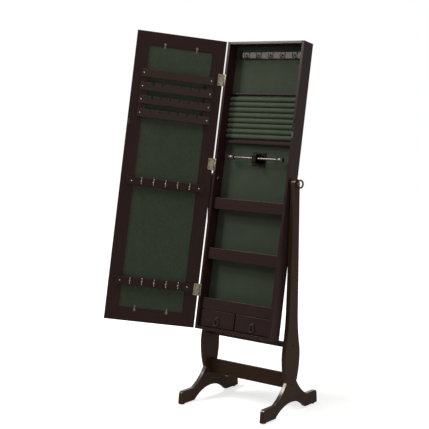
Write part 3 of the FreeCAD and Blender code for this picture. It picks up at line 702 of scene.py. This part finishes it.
# Start, end, bow and steps of the arcs up an upright's side
UPRIGHT_ARCS = ((WAIST, BULGE, 4.5, 14), (BULGE, SHOULDER, 2.1, 10), (SHOULDER, NECK, -3.0, 14))


def mirrored(half):
    """A half outline from top to bottom, joined to its mirror image."""
    return half + [(-y, z) for y, z in reversed(half)]


def upright_outline():
    """Vase shape from the waist up to the round head, as (y, z) points."""
    side = [point for arc in UPRIGHT_ARCS for point in arc_points(*arc)] + [NECK]
    crown = [
        (HEAD_RADIUS * math.cos(a), PIVOT_HEIGHT + HEAD_RADIUS * math.sin(a)) for a in angles(QUARTER_TURN, 14)
    ]
    return mirrored(side + crown + [(0.001, PIVOT_HEIGHT + HEAD_RADIUS)])


def foot_outline():
    """Trestle foot with flat toes, hollow insteps and an arch, as (y, z) points."""
    half = [(FOOT_HALF, GLIDE_HEIGHT)] + arc_points(TOE_SIDE, TOE_TOP, TOE_ROUND, 8) + [TOE_TOP]
    half += arc_points(INSTEP, WAIST, -INSTEP_HOLLOW, 16) + [WAIST]
    start, end = (ARCH_HALF, GLIDE_HEIGHT), (-ARCH_HALF, GLIDE_HEIGHT)
    arch = arc_points(start, end, ARCH_RISE, 40) + [end]
    return mirrored(half) + [(-y, z) for y, z in arch]


def bolt_places(side):
    """Seats of one side's bolts and the way out of them."""
    return [((side * (STAND_HALF - BOLT_RECESS), 0, z), (side, 0, 0)) for z in BOLT_HEIGHTS]


def bolt_wells(side):
    """Counterbores in one side's outer face."""
    radius = BOLT_RADIUS + BOLT_ROOM
    return turned([(0, radius), (BOLT_RECESS + 2, radius)], bolt_places(side), 32)


class CHEVAL_OT_stand(bpy.types.Operator):
    """Cut the stand's uprights, feet and stretchers"""

    bl_idname = "cheval.stand"
    bl_label = "Stand boards"

    def execute(self, context):
        ease = context.scene.cheval_sizes.stand_ease * METRE
        for side, word in SIDES:
            for part, outline, finish, top in (
                ("_upright", upright_outline(), "stand_z", "crown"),
                ("_foot", foot_outline(), "stand_y", "polished"),
            ):
                shape = bmesh.new()
                prism(shape, outline, side * STAND_INSIDE, side * STAND_HALF)
                ease_edges(shape, ease, 3, 40)
                name = word + part + "_board"
                mesh = carved(shape, bolt_wells(side), name)
                flat_faces(put(name, mesh, "stand", finish, [word + part], second=top))
        boards("stand", ease)
        return {"FINISHED"}


class CHEVAL_OT_stand_hardware(bpy.types.Operator):
    """Turn the socket bolts and the glides under the toes"""

    bl_idname = "cheval.stand_hardware"
    bl_label = "Bolts and glides"

    def execute(self, context):
        steps = context.scene.cheval_sizes.round_steps
        shank = [(-6, 0), (-6, SHANK_RADIUS), (0, SHANK_RADIUS)]
        head = [(0, 4.6), (0.4, BOLT_RADIUS), (2.9, BOLT_RADIUS), (3.3, 4.7), (BOLT_HEAD, 4.2), (BOLT_HEAD, 0)]
        above = BOLT_HEAD + 1
        key = [(1.2, 0), (1.2, SOCKET_RADIUS), (above, SOCKET_RADIUS), (above, 0)]
        bolt = carved(turned(shank + head, AT_ORIGIN, steps), turned(key, AT_ORIGIN, 6), "socket_bolt")
        places = bolt_places(-1) + bolt_places(1)
        put("socket_bolts", stamped(bolt, places), "stand", "black_oxide", ["stretcher_bolts"])
        glide = [(0, 0), (0, 5.6), (0.5, 6.5), (1.4, 7), (GLIDE_HEIGHT, 7), (GLIDE_HEIGHT, 0)]
        places = [((x, y, 0), (0, 0, 1)) for x in (-GLIDE_X, GLIDE_X) for y in (-GLIDE_Y, GLIDE_Y)]
        shape = turned(glide, places, steps)
        put("toe_glides", shape, "stand", "plastic", ["foot_glides"])
        return {"FINISHED"}


KNOB_FACE = STAND_HALF + 0.3
RING_CENTRE = 14.5
RING_REACH = 11
RING_RISE = 14.5
RING_WIRE = 3.7
RING_STEPS = 56
PIVOT_SCREW_START = 171.5


class CHEVAL_OT_tilt_knobs(bpy.types.Operator):
    """Cast the two ring knobs that clamp the tilt"""

    bl_idname = "cheval.tilt_knobs"
    bl_label = "Tilt knobs"

    def execute(self, context):
        steps = context.scene.cheval_sizes.round_steps
        hub = [(0, 0), (0, 6.6), (0.4, 7), (2.2, 7), (2.8, 6.2), (4.0, 5.4), (5.4, 4.8), (6.6, 4.0)]
        hub += [(9.6, 4.0), (10.6, 3.5), (11, 2.6), (11, 0)]
        screw = [(0, 0), (0, 3.2), (0.8, 4), (38.6, 4), (38.6, 0)]
        for side, word in SIDES:
            shape = bmesh.new()
            centre = side * (KNOB_FACE + RING_CENTRE)
            ring = [
                (centre + RING_REACH * math.cos(a), 0, PIVOT_HEIGHT + RING_RISE * math.sin(a))
                for a in angles(FULL_TURN, RING_STEPS)
            ]
            tube(shape, ring, [RING_WIRE] * RING_STEPS, 20, closed=True)
            for start, profile in ((KNOB_FACE, hub), (PIVOT_SCREW_START, screw)):
                lathe(shape, profile, (side * start, 0, PIVOT_HEIGHT), (side, 0, 0), steps)
            nodes = [word + "_tilt_knob"]
            put(word + "_ring_knob", shape, "stand", "pewter", nodes, word + "_knob")
        return {"FINISHED"}


# Cabinet


class CHEVAL_OT_cabinet(bpy.types.Operator):
    """Make the cabinet's boards, shelves and rails"""

    bl_idname = "cheval.cabinet"
    bl_label = "Cabinet boards"

    def execute(self, context):
        boards("cabinet", context.scene.cheval_sizes.board_ease * METRE)
        return {"FINISHED"}


FELT_COLUMNS = 48
FELT_ROWS = 140
FELT_DIP = 0.28
FELT_SWELL = 0.2
FELT_PRESS = 0.35


def felt_shape(low, high, front, back):
    """Thin felt sheet with a gently uneven face, its edge pressed down where it is glued."""
    shape = bmesh.new()
    bmesh.ops.create_grid(shape, x_segments=FELT_COLUMNS, y_segments=FELT_ROWS, size=0.5)
    sense = 1 if front < back else -1
    for vertex in shape.verts:
        x = low.x + (high.x - low.x) * (vertex.co.x + 0.5)
        z = low.z + (high.z - low.z) * (vertex.co.y + 0.5)
        edge = min(x - low.x, high.x - x, z - low.z, high.z - z)
        dip = FELT_DIP + FELT_SWELL * noise.noise(Vector((x / 60, z / 90, 3.7)))
        dip += FELT_PRESS * math.exp(-edge / 2.5)
        vertex.co = (x, front + sense * max(0.0, dip), z)
    rim = [edge for edge in shape.edges if edge.is_boundary]
    for part in bmesh.ops.extrude_edge_only(shape, edges=rim)["geom"]:
        if isinstance(part, bmesh.types.BMVert):
            part.co.y = back
    bmesh.ops.holes_fill(shape, edges=[edge for edge in shape.edges if edge.is_boundary])
    return shape


class CHEVAL_OT_felt(bpy.types.Operator):
    """Lay the green felt in the cabinet and on the door"""

    bl_idname = "cheval.felt"
    bl_label = "Felt linings"

    def execute(self, context):
        for place, panel in (("cabinet", "cabinet_back"), ("door", "door_backing")):
            node = place + "_felt"
            low, high = node_span(node, place)
            front, back = (low.y, high.y) if place == "cabinet" else (high.y, low.y)
            shape = felt_shape(low, high, front, back)
            felt = put(node + "_sheet", shape, place, "felt", [node])
        return {"FINISHED"}


ROLL_COUNT = 8
ROLL_PITCH = 22.0
ROLL_MIDDLE = 878.0
ROLL_BACK = 52.2
ROLL_DEPTH = 10.5
ROLL_RISE = 10.65
ROLL_HALF = 173.0
ROLL_STATIONS = 120
ROLL_STEPS = 20
ROLL_SMOOTH = 60


def roll_shape(centre, seed, wander):
    """Velvet roll over foam, full in the middle and gathered at both ends, with painted shade in the tucks
    between rolls.
    """
    shape = bmesh.new()
    tuck = shape.verts.layers.float.new("tuck")
    rings = []
    for i in range(ROLL_STATIONS + 1):
        x = ROLL_HALF * math.sin(QUARTER_TURN * (2 * i / ROLL_STATIONS - 1))
        end = ROLL_HALF - abs(x)
        size = 0.7 + 0.3 * math.sqrt(1 - (1 - min(end / 8, 1)) ** 2)
        gather = 0.5 * math.exp(-end / 9)
        ring = []
        for j in range(ROLL_STEPS + 1):
            a = HALF_TURN * (j / ROLL_STEPS - 0.5)
            uneven = wander * noise.noise(Vector((x / 26, 2.2 * a, seed * 5.3)))
            uneven += gather * math.sin(9 * a + seed)
            depth = (ROLL_DEPTH + uneven) * size * math.cos(a) ** 0.92
            rise = (ROLL_RISE + 0.3 * uneven) * min(size, 1.0) * math.sin(a)
            ring.append(shape.verts.new((x, ROLL_BACK - depth, centre + rise)))
            # Painted shade: the velvet's tone falls to a quarter in the lower tuck and to about a half in the
            # upper one.
            ring[-1][tuck] = 0.25 + 0.75 * math.cos(min(QUARTER_TURN, abs(a - 0.25))) ** 0.8
        rings.append(ring)
    skin(shape, rings)
    return shape


class CHEVAL_OT_ring_rolls(bpy.types.Operator):
    """Cover the eight ring rolls with velvet"""

    bl_idname = "cheval.ring_rolls"
    bl_label = "Ring rolls"

    def execute(self, context):
        wander = context.scene.cheval_sizes.roll_unevenness * METRE
        for i, offset in enumerate(spread(ROLL_COUNT, ROLL_PITCH), 1):
            shape = roll_shape(ROLL_MIDDLE + offset, i, wander)
            name = "ring_roll_" + str(i)
            roll = put(name, shape, "cabinet", "velvet", ["ring_rolls"], smooth=ROLL_SMOOTH)
        return {"FINISHED"}


BAR_Y = 24
BAR_Z = 712
BAR_KNOB_X = 110


class CHEVAL_OT_bracelet_bar(bpy.types.Operator):
    """Turn the bracelet rod and its two end knobs"""

    bl_idname = "cheval.bracelet_bar"
    bl_label = "Bracelet bar"

    def execute(self, context):
        steps = context.scene.cheval_sizes.round_steps
        rod = [(-124, 0), (-124, 4.4), (-123.4, 5), (123.4, 5), (124, 4.4), (124, 0)]
        knob = [(-6, 5.05), (-6, 8.9), (-5.8, 9.3), (-5.4, 9.5), (22.4, 9.5), (23.2, 9.2), (23.8, 8.6)]
        knob += [(24, 7.8), (24.1, 0)]
        shape = turned(rod, [((0, BAR_Y, BAR_Z), (1, 0, 0))], steps)
        put("bracelet_bar", shape, "cabinet", "turned", ["bracelet_rod"])
        places = [((side * BAR_KNOB_X, BAR_Y, BAR_Z), (side, 0, 0)) for side in (-1, 1)]
        shape = turned(knob, places, steps)
        put("bracelet_end_knobs", shape, "cabinet", "turned", ["bracelet_knobs"])
        return {"FINISHED"}


HOOK_BEND = 3
HOOK_STEM = 5.0
HOOK_CROOK = 6
HOOK_TIP = 17.0
BEAD_RADIUS = 2
HOOK_STEPS = 24
RAIL_HOOKS = [(x, 48, 1138) for x in spread(5, 58)]
NECKLACE_HOOKS = [(x, 7, z) for z in (164, 570) for x in spread(5, 49.3)]

# Piece, frame, finish, node, places, way out of the face and wire radius
HOOKS = (
    # The rail hooks' nickel is darkened as a painted reflection of the cabinet's dark inside
    ("hook_rail_wires", "cabinet", "black_nickel", "rail_hooks", RAIL_HOOKS, -1, 1.7),
    ("necklace_wires", "door", "nickel", "necklace_hooks", NECKLACE_HOOKS, 1, 1.3),
)


def hook_path(x, face, z, out):
    """Line of a cup hook's wire: out of the face, down, round the crook and up to the long tip."""
    bend, crook = HOOK_BEND, HOOK_CROOK
    flat = [(0.0, 0.0)]
    flat += [(2 + bend * math.sin(a), -3 + bend * math.cos(a)) for a in angles(QUARTER_TURN, 6, 1)]
    flat += [(HOOK_STEM, -5.5)]
    flat += [(11 - crook * math.cos(a), -8 - crook * math.sin(a)) for a in angles(HALF_TURN, 16, 1)]
    flat += [(HOOK_TIP, rise) for rise in (0.0, 7.0, 13.0)]
    return [(x, face + out * reach, z + rise) for reach, rise in flat]


class CHEVAL_OT_hooks(bpy.types.Operator):
    """Bend the wire hooks on the hook rail and the necklace rails"""

    bl_idname = "cheval.hooks"
    bl_label = "Wire hooks"

    def execute(self, context):
        bead = [(-BEAD_RADIUS * math.cos(a), BEAD_RADIUS * math.sin(a)) for a in angles(HALF_TURN, 12)[1:]]
        bead = [(-BEAD_RADIUS, 0)] + bead + [(BEAD_RADIUS, 0)]
        collar = [(0, 0), (0, 3), (0.5, 2.95), (0.9, 2.4), (1.1, 1.5), (1.1, 0)]
        for name, place, finish, node, places, out, wire in HOOKS:
            shape = bmesh.new()
            for x, face, z in places:
                path = hook_path(x, face, z, out)
                tube(shape, path, [wire] * len(path), 14)
                lathe(shape, bead, path[-1], (0, 0, 1), HOOK_STEPS)
                lathe(shape, collar, (x, face, z), (0, out, 0), HOOK_STEPS)
            put(name, shape, place, finish, [node])
        return {"FINISHED"}


BUSHING_START = 173.5


class CHEVAL_OT_pivot_bushings(bpy.types.Operator):
    """Turn the flanged bushings of the tilt pivots"""

    bl_idname = "cheval.pivot_bushings"
    bl_label = "Pivot bushings"

    def execute(self, context):
        steps = context.scene.cheval_sizes.round_steps
        bushing = [(-0.3, 4.05), (-0.9, 4.4), (-1.2, 5.1), (-0.9, 5.9), (0, 6.5), (11, 6.5), (11, 12.2)]
        bushing += [(11.8, 13), (17.4, 13), (18.2, 12.2), (18.2, 4.05)]
        places = [((side * BUSHING_START, PIVOT_SETBACK, PIVOT_RISE), (side, 0, 0)) for side in (-1, 1)]
        shape = turned(bushing, places, steps, bored=True)
        put("flanged_bushings", shape, "cabinet", "nickel", ["pivot_bushings"])
        return {"FINISHED"}


# Drawers

PULL_X = 87.25
PULL_Y = 6.0
PULL_Z = 51.0
PULL_TIP = 4.4
PULL_BOWL = 10.9
PULL_DROP = 17.1
PULL_WIRE = 1.5
PULL_SWELL = 0.75
PULL_SMOOTH = 50
DRAWER_FACE = 12
POST_HALF = 2.5
POST_FRONT = 3.5
POST_BACK = 10.8
EYE_START = 2.95


def pull_path(x):
    """Line of a teardrop loop, from one eye down round the bowl and up to the other eye."""
    slope = math.asin((PULL_BOWL - PULL_TIP) / PULL_DROP)
    bowl = []
    for a in angles(HALF_TURN + 2 * slope, 32, 1):
        a += HALF_TURN - slope
        bowl.append((PULL_BOWL * math.cos(a), PULL_BOWL * math.sin(a) - PULL_DROP))
    left, right = ((side * PULL_TIP * math.cos(slope), PULL_TIP * math.sin(slope)) for side in (-1, 1))
    quarters = (0.25, 0.5, 0.75)
    points = [left] + [tuple(Vector(left).lerp(Vector(bowl[0]), t)) for t in quarters] + bowl
    points += [tuple(Vector(bowl[-1]).lerp(Vector(right), t)) for t in quarters] + [right]
    return [(x + u, PULL_Y, PULL_Z + w) for u, w in points]


class CHEVAL_OT_drawers(bpy.types.Operator):
    """Make the two drawers with their rosettes and teardrop pulls"""

    bl_idname = "cheval.drawers"
    bl_label = "Drawers and pulls"

    def execute(self, context):
        ease = context.scene.cheval_sizes.board_ease * METRE
        steps = context.scene.cheval_sizes.round_steps
        rosette = [(0, 0), (0, 6), (0.5, 6), (0.8, 5.5), (0.9, 4.8), (1.4, 4.2), (1.5, 3.4), (1.5, 0)]
        eye = [(0, 0), (0, 2.3), (0.4, 2.7), (2.2, 2.7), (2.6, 2.2), (2.6, 0)]
        pin = [(-5.2, 0), (-5.2, 1.2), (5.2, 1.2), (5.2, 0)]
        for side, word in SIDES:
            body = word + "_drawer"
            x = side * PULL_X
            board(body + "_front", "cabinet", "wood_x", ease * 2.0, body)
            board(body + "_box", "cabinet", "board", ease * 0.6, body)
            shape = bmesh.new()
            lathe(shape, rosette, (x, DRAWER_FACE, PULL_Z), (0, -1, 0), steps)
            post = bmesh.new()
            low = (x - POST_HALF, POST_FRONT, PULL_Z - POST_HALF)
            block(post, low, (x + POST_HALF, POST_BACK, PULL_Z + POST_HALF))
            ease_edges(post, 1.1, 3)
            merged(shape, post)
            nodes = [word + "_pull_mount"]
            put(word + "_pull_rosette", shape, "cabinet", "gunmetal", nodes, body)
            shape = bmesh.new()
            path = pull_path(x)
            swell = [math.sin(a) ** 1.5 for a in angles(HALF_TURN, len(path) - 1)] + [0.0]
            tube(shape, path, [PULL_WIRE + PULL_SWELL * share for share in swell], 16)
            for sense in (-1, 1):
                lathe(shape, eye, (x + sense * EYE_START, PULL_Y, PULL_Z), (sense, 0, 0), 24)
            lathe(shape, pin, (x, PULL_Y, PULL_Z), (1, 0, 0), 20)
            name, nodes = word + "_teardrop_loop", [word + "_teardrop_pull"]
            pull = word + "_pull"
            put(name, shape, "cabinet", "gunmetal", nodes, pull, smooth=PULL_SMOOTH)
        return {"FINISHED"}


# Door


class CHEVAL_OT_door(bpy.types.Operator):
    """Make the door's frame, mirror, earring rack and necklace rails"""

    bl_idname = "cheval.door"
    bl_label = "Door boards and mirror"

    def execute(self, context):
        boards("door", context.scene.cheval_sizes.board_ease * METRE)
        return {"FINISHED"}


def cross_screw(name, radius, rise, steps):
    """Pan-head screw with a cross recess, drawn along Z from the surface it sits on."""
    dome = [(rise * math.sin(a), radius * math.cos(a)) for a in angles(QUARTER_TURN, 7)]
    head = turned([(-0.4, 0), (-0.4, radius * 0.9)] + dome + [(rise, 0)], AT_ORIGIN, steps)
    cutter = bmesh.new()
    quarter = [(0.62, -0.16), (0.62, 0.16), (0.16, 0.16)]
    cross = [Matrix.Rotation(a, 2) @ Vector(tip) * radius for a in angles(FULL_TURN, 4) for tip in quarter]
    prism(cutter, [tuple(tip) for tip in cross], rise * 0.35, rise * 2)
    cutter.transform(Matrix.Rotation(-QUARTER_TURN, 4, "Y"))
    return carved(head, cutter, name)


HINGE_HEIGHTS = [CABINET_HEIGHT * share for share in (0.1326, 0.5701, 0.8649)]
HINGE_X = -186.5
HINGE_Y = -1.5
HINGE_TALL = 48.0
HINGE_STEPS = 28
LEAF_START = 2.4
LEAF_CORNER = 2.0
HINGE_SCREWS = (-15, 15)

# Frame, far edge, face, thickness, knuckles and line of screws of each kind of leaf
HINGE_LEAVES = (
    ("cabinet", -175.0, 0, -1.2, (0, 2), -179.5),
    ("door", -164.5, -3, 1.2, (1,), -170.5),
)


def hinge_leaf_shape(height, end, face, thickness, segments):
    """Leaf of a butt hinge with its knuckles."""
    low = height - HINGE_TALL / 2
    step = HINGE_TALL / 3
    front, back = min(face, face + thickness), max(face, face + thickness)
    knuckle = [(0.2, 0), (0.2, 1.8), (0.5, 2.1), (step - 0.5, 2.1), (step - 0.2, 1.8), (step - 0.2, 0)]
    leaf = bmesh.new()
    block(leaf, (HINGE_X + LEAF_START, front, low), (end, back, low + HINGE_TALL))
    bmesh.ops.recalc_face_normals(leaf, faces=leaf.faces)
    ends = [(edge, edge.verts[0].co, edge.verts[1].co) for edge in leaf.edges]
    corners = [edge for edge, a, b in ends if abs(a.y - b.y) > 0.5 and a.x > HINGE_X + 4]
    round_edges(leaf, corners, LEAF_CORNER, 4)
    ease_edges(leaf, 0.2, 2, 60)
    for i in segments:
        start = low + i * step
        lathe(leaf, knuckle, (HINGE_X, HINGE_Y, start), (0, 0, 1), HINGE_STEPS)
        block(leaf, (HINGE_X + 0.8, front, start + 0.5), (HINGE_X + 2.6, back, start + step - 0.5))
    return leaf


class CHEVAL_OT_hinges(bpy.types.Operator):
    """Make the three butt hinges with their pins and screws"""

    bl_idname = "cheval.hinges"
    bl_label = "Hinges"

    def execute(self, context):
        screw = cross_screw("hinge_screw", radius=2.6, rise=0.3, steps=24)
        for place, end, face, thickness, segments, across in HINGE_LEAVES:
            shape = bmesh.new()
            for height in HINGE_HEIGHTS:
                merged(shape, hinge_leaf_shape(height, end, face, thickness, segments))
            put(place + "_hinge_plates", shape, place, "brass", [place + "_hinge_leaves"])
            out = (0, 1 if thickness > 0 else -1, 0)
            places = [
                ((across, face + thickness, height + offset), out)
                for height in HINGE_HEIGHTS
                for offset in HINGE_SCREWS
            ]
            put(place + "_hinge_screws", stamped(screw, places), place, "gunmetal")
        pin = [(-0.9, 0), (-0.8, 1.0), (-0.2, 1.8), (0.1, 1.8), (0.2, 1.1), (47.8, 1.1), (47.9, 1.8)]
        pin += [(48.2, 1.8), (48.8, 1.0), (48.9, 0)]
        places = [((HINGE_X, HINGE_Y, height - HINGE_TALL / 2), (0, 0, 1)) for height in HINGE_HEIGHTS]
        shape = turned(pin, places, 20)
        put("hinge_pin_wires", shape, "cabinet", "brass", ["hinge_pins"])
        return {"FINISHED"}


CLIP_X = (-65.5, 65.5)
CLIP_THICK = 1
CLIP_FACE = -2
CLIP_EDGES = ((1130, 1), (54, -1))
CLIP_SCREWS = (1137, 47)
RACK_SCREW_X = (-138.5, 138.5)
RACK_FACE = 9
RACK_LOWEST = 848.2
RACK_PITCH = 54.5
NECKLACE_FACE = 7
NECKLACE_SCREWS = (162, 568)
CATCH_X = 179
CATCH_Z = 809
CATCH_SCREWS = (-8, 8)

# Distance from the felt's edge, half width and face of a clip from its screw to its tongue
CLIP_STATIONS = (
    *((12, 3.2, -3), (11, 4.4, -3), (8.5, 5.0, -3), (5, 5.0, -3), (1.5, 4.0, -3), (0, 3.2, -3)),
    *((-1, 2.9, -4.6), (-2, 2.8, -5.3), (-8, 2.7, -5.3), (-10.8, 2.2, -5.3), (-12, 1.3, -5.3)),
)


def clip_shape(x, edge, sense):
    """Cranked panel clip, wide at its screw and narrow at the tongue that holds the felt."""
    shape = bmesh.new()
    rows = []
    for rise, half, y in CLIP_STATIONS:
        z = edge + sense * rise
        corners = ((-half, 0), (half, 0), (half, CLIP_THICK), (-half, CLIP_THICK))
        rows.append([shape.verts.new((x + dx, y + dy, z)) for dx, dy in corners])
    skin(shape, rows)
    ease_edges(shape, 0.25, 2, 50)
    return shape


class CHEVAL_OT_door_fittings(bpy.types.Operator):
    """Add the panel clips, the catch and the screws of the racks"""

    bl_idname = "cheval.door_fittings"
    bl_label = "Clips, catch and screws"

    def execute(self, context):
        radius = context.scene.cheval_sizes.screw_radius * METRE
        screw = cross_screw("pan_screw", radius, rise=1.7, steps=28)
        shape = bmesh.new()
        for edge, sense in CLIP_EDGES:
            for x in CLIP_X:
                merged(shape, clip_shape(x, edge, sense))
        put("felt_clips", shape, "door", "zinc", ["panel_clips"])
        out = (0, 1, 0)
        places = [((x, CLIP_FACE, z), out) for z in CLIP_SCREWS for x in CLIP_X]
        put("clip_screws", stamped(screw, places), "door", "zinc")
        places = [((x, RACK_FACE, RACK_LOWEST + RACK_PITCH * i), out) for i in range(4) for x in RACK_SCREW_X]
        places += [((x, NECKLACE_FACE, z), out) for z in NECKLACE_SCREWS for x in RACK_SCREW_X]
        put("rack_screws", stamped(screw, places), "door", "nickel")
        bumper = node_shape("door_bumper", "cabinet", 0.8, 3)
        put("door_bumper_pad", bumper, "cabinet", "plastic", ["door_bumper"])
        small = cross_screw("catch_screw", radius=2.2, rise=0.3, steps=20)
        for node, place, face, out, slot, finish in (
            ("catch_plate", "cabinet", -1.0, (0, -1, 0), "bright_steel", "pewter"),
            ("catch_magnet", "door", -1.8, (0, 1, 0), "dark_steel", "gunmetal"),
        ):
            put(node + "_strip", node_shape(node, place, 0.3), place, finish, [node])
            places = [((CATCH_X, face, CATCH_Z + offset), out) for offset in CATCH_SCREWS]
            put(node + "_screws", stamped(small, places), place, finish)
        return {"FINISHED"}


# Stage

FOCAL_SHARE = 1049.7 / 429
SENSOR = 36.0
CAMERA_PLACE = STAND @ Vector((2.3932, -3.4712, 1.2519))
CAMERA_AZIMUTH = 36.66
CAMERA_PITCH = 6.37
CAMERA_ROLL = 1.08
SHADOW_LIGHT = 0.11
FLOOR_HALF = 9000

# Place, target, size in metres and power in watts of each lamp
LAMPS = {
    "key_softbox": ((-2.0, -1.85, 3.8), (0, 0, 0.9), 1.1, 95),
    "gloss_softbox": ((-1.77, -2.38, 2.65), (0, 0, 1.4), 0.6, 32),
    "fill_softbox": ((3.2, -0.9, 1.6), (0, 0, 0.8), 1.2, 19),
    "top_softbox": ((0.2, -0.6, 3.9), (0, 0, 0), 1.2, 44),
}


def softbox(name, place, target, size, power):
    """Square lamp with a broad soft face."""
    lamp = bpy.data.lights.new(name, "AREA")
    lamp.shape = "SQUARE"
    lamp.size = size
    lamp.energy = power
    thing = placed(name, lamp)
    thing.location = place
    thing.rotation_euler = (Vector(target) - Vector(place)).to_track_quat("-Z", "Y").to_euler()


def seen_directly(tree):
    """One for rays that show the background: from the camera, in gloss and through glass."""
    rays = add_node(tree, "LightPath").outputs
    first = add_node(
        tree, "Math", {0: rays["Is Camera Ray"], 1: rays["Is Glossy Ray"]}, operation="MAXIMUM"
    )
    return add_node(tree, "Math", {0: first, 1: rays["Is Transmission Ray"]}, operation="MAXIMUM")


def white_studio():
    """White surround that lights the object less than it shows."""
    world = bpy.data.worlds.new("white_studio")
    world.use_nodes = True
    tree = world.node_tree
    tree.nodes.clear()
    strength = add_node(tree, "MapRange", {"Value": seen_directly(tree), "To Min": SHADOW_LIGHT, "To Max": 1.0})
    glow = add_node(tree, "Background", {"Color": (1, 1, 1, 1), "Strength": strength})
    add_node(tree, "OutputWorld", {"Surface": glow})
    return world


def white_paper(tree, coords):
    """Matt white paper: it keeps the shadow near the object and fades to the white surround."""
    paper = add_node(tree, "BsdfDiffuse", {"Color": rgba(linear("#e8e8e6"))})
    away = add_node(tree, "VectorMath", {0: coords}, operation="LENGTH").outputs["Value"]
    near = {"Value": away, "From Min": 0.5, "From Max": 2.0, "To Min": 0.7, "To Max": 1.0}
    fade = add_node(tree, "MapRange", near)
    lift = add_node(tree, "Math", {0: seen_directly(tree), 1: fade}, operation="MULTIPLY")
    shine = add_node(tree, "Emission", {"Color": (1, 1, 1, 1), "Strength": lift})
    return add_node(tree, "AddShader", {0: paper, 1: shine})


def photo_camera():
    """Camera at the photograph's place, with its aim and roll."""
    camera = bpy.data.cameras.new("photo_camera")
    camera.sensor_width = SENSOR
    camera.lens = FOCAL_SHARE * SENSOR
    camera.clip_end = 60
    aim = Matrix.Translation(CAMERA_PLACE)
    for turn, axis in ((CAMERA_AZIMUTH, "Z"), (90 - CAMERA_PITCH, "X"), (CAMERA_ROLL, "Z")):
        aim = aim @ Matrix.Rotation(math.radians(turn), 4, axis)
    thing = placed("photo_camera", camera)
    thing.matrix_world = aim
    return thing


class CHEVAL_OT_stage(bpy.types.Operator):
    """Set the floor, the lamps, the white surround and the camera"""

    bl_idname = "cheval.stage"
    bl_label = "Stage"

    def execute(self, context):
        scene = context.scene
        scene.view_settings.view_transform = "Standard"
        scene.world = white_studio()
        shape = bmesh.new()
        bmesh.ops.create_grid(shape, x_segments=8, y_segments=8, size=FLOOR_HALF)
        floor = placed("paper_floor", finished(shape, "paper_floor"))
        floor.data.materials.append(new_finish("white_paper_floor", white_paper))
        for name, settings in LAMPS.items():
            softbox(name, *settings)
        scene.camera = photo_camera()
        return {"FINISHED"}


PIECES = (
    CHEVAL_OT_finishes,
    CHEVAL_OT_stand,
    CHEVAL_OT_stand_hardware,
    CHEVAL_OT_tilt_knobs,
    CHEVAL_OT_cabinet,
    CHEVAL_OT_felt,
    CHEVAL_OT_ring_rolls,
    CHEVAL_OT_bracelet_bar,
    CHEVAL_OT_hooks,
    CHEVAL_OT_pivot_bushings,
    CHEVAL_OT_drawers,
    CHEVAL_OT_door,
    CHEVAL_OT_hinges,
    CHEVAL_OT_door_fittings,
    CHEVAL_OT_stage,
)


class CHEVAL_PT_panel(bpy.types.Panel):
    """Sidebar list of the mirror's pieces, sizes and colours"""

    bl_idname = "CHEVAL_PT_panel"
    bl_label = "Cheval Mirror"
    bl_space_type = "VIEW_3D"
    bl_region_type = "UI"
    bl_category = "Cheval Mirror"

    def draw(self, context):
        for group in (context.scene.cheval_sizes, context.scene.cheval_colours):
            for name in group.__annotations__:
                self.layout.prop(group, name)
        for operator in PIECES:
            self.layout.operator(operator.bl_idname)


CLASSES = (ChevalColours, ChevalSizes, *PIECES, CHEVAL_PT_panel)


def register():
    """Add the classes and their settings to Blender."""
    for each in CLASSES:
        bpy.utils.register_class(each)
    bpy.types.Scene.cheval_colours = PointerProperty(type=ChevalColours)
    bpy.types.Scene.cheval_sizes = PointerProperty(type=ChevalSizes)


def unregister():
    """Take the classes and their settings out again."""
    del bpy.types.Scene.cheval_sizes
    del bpy.types.Scene.cheval_colours
    for each in reversed(CLASSES):
        bpy.utils.unregister_class(each)


def main():
    """Make every piece in order."""
    register()
    for operator in PIECES:
        getattr(bpy.ops.cheval, operator.bl_idname.partition(".")[2])()
    bpy.context.view_layer.update()


if __name__ == "__main__":
    main()
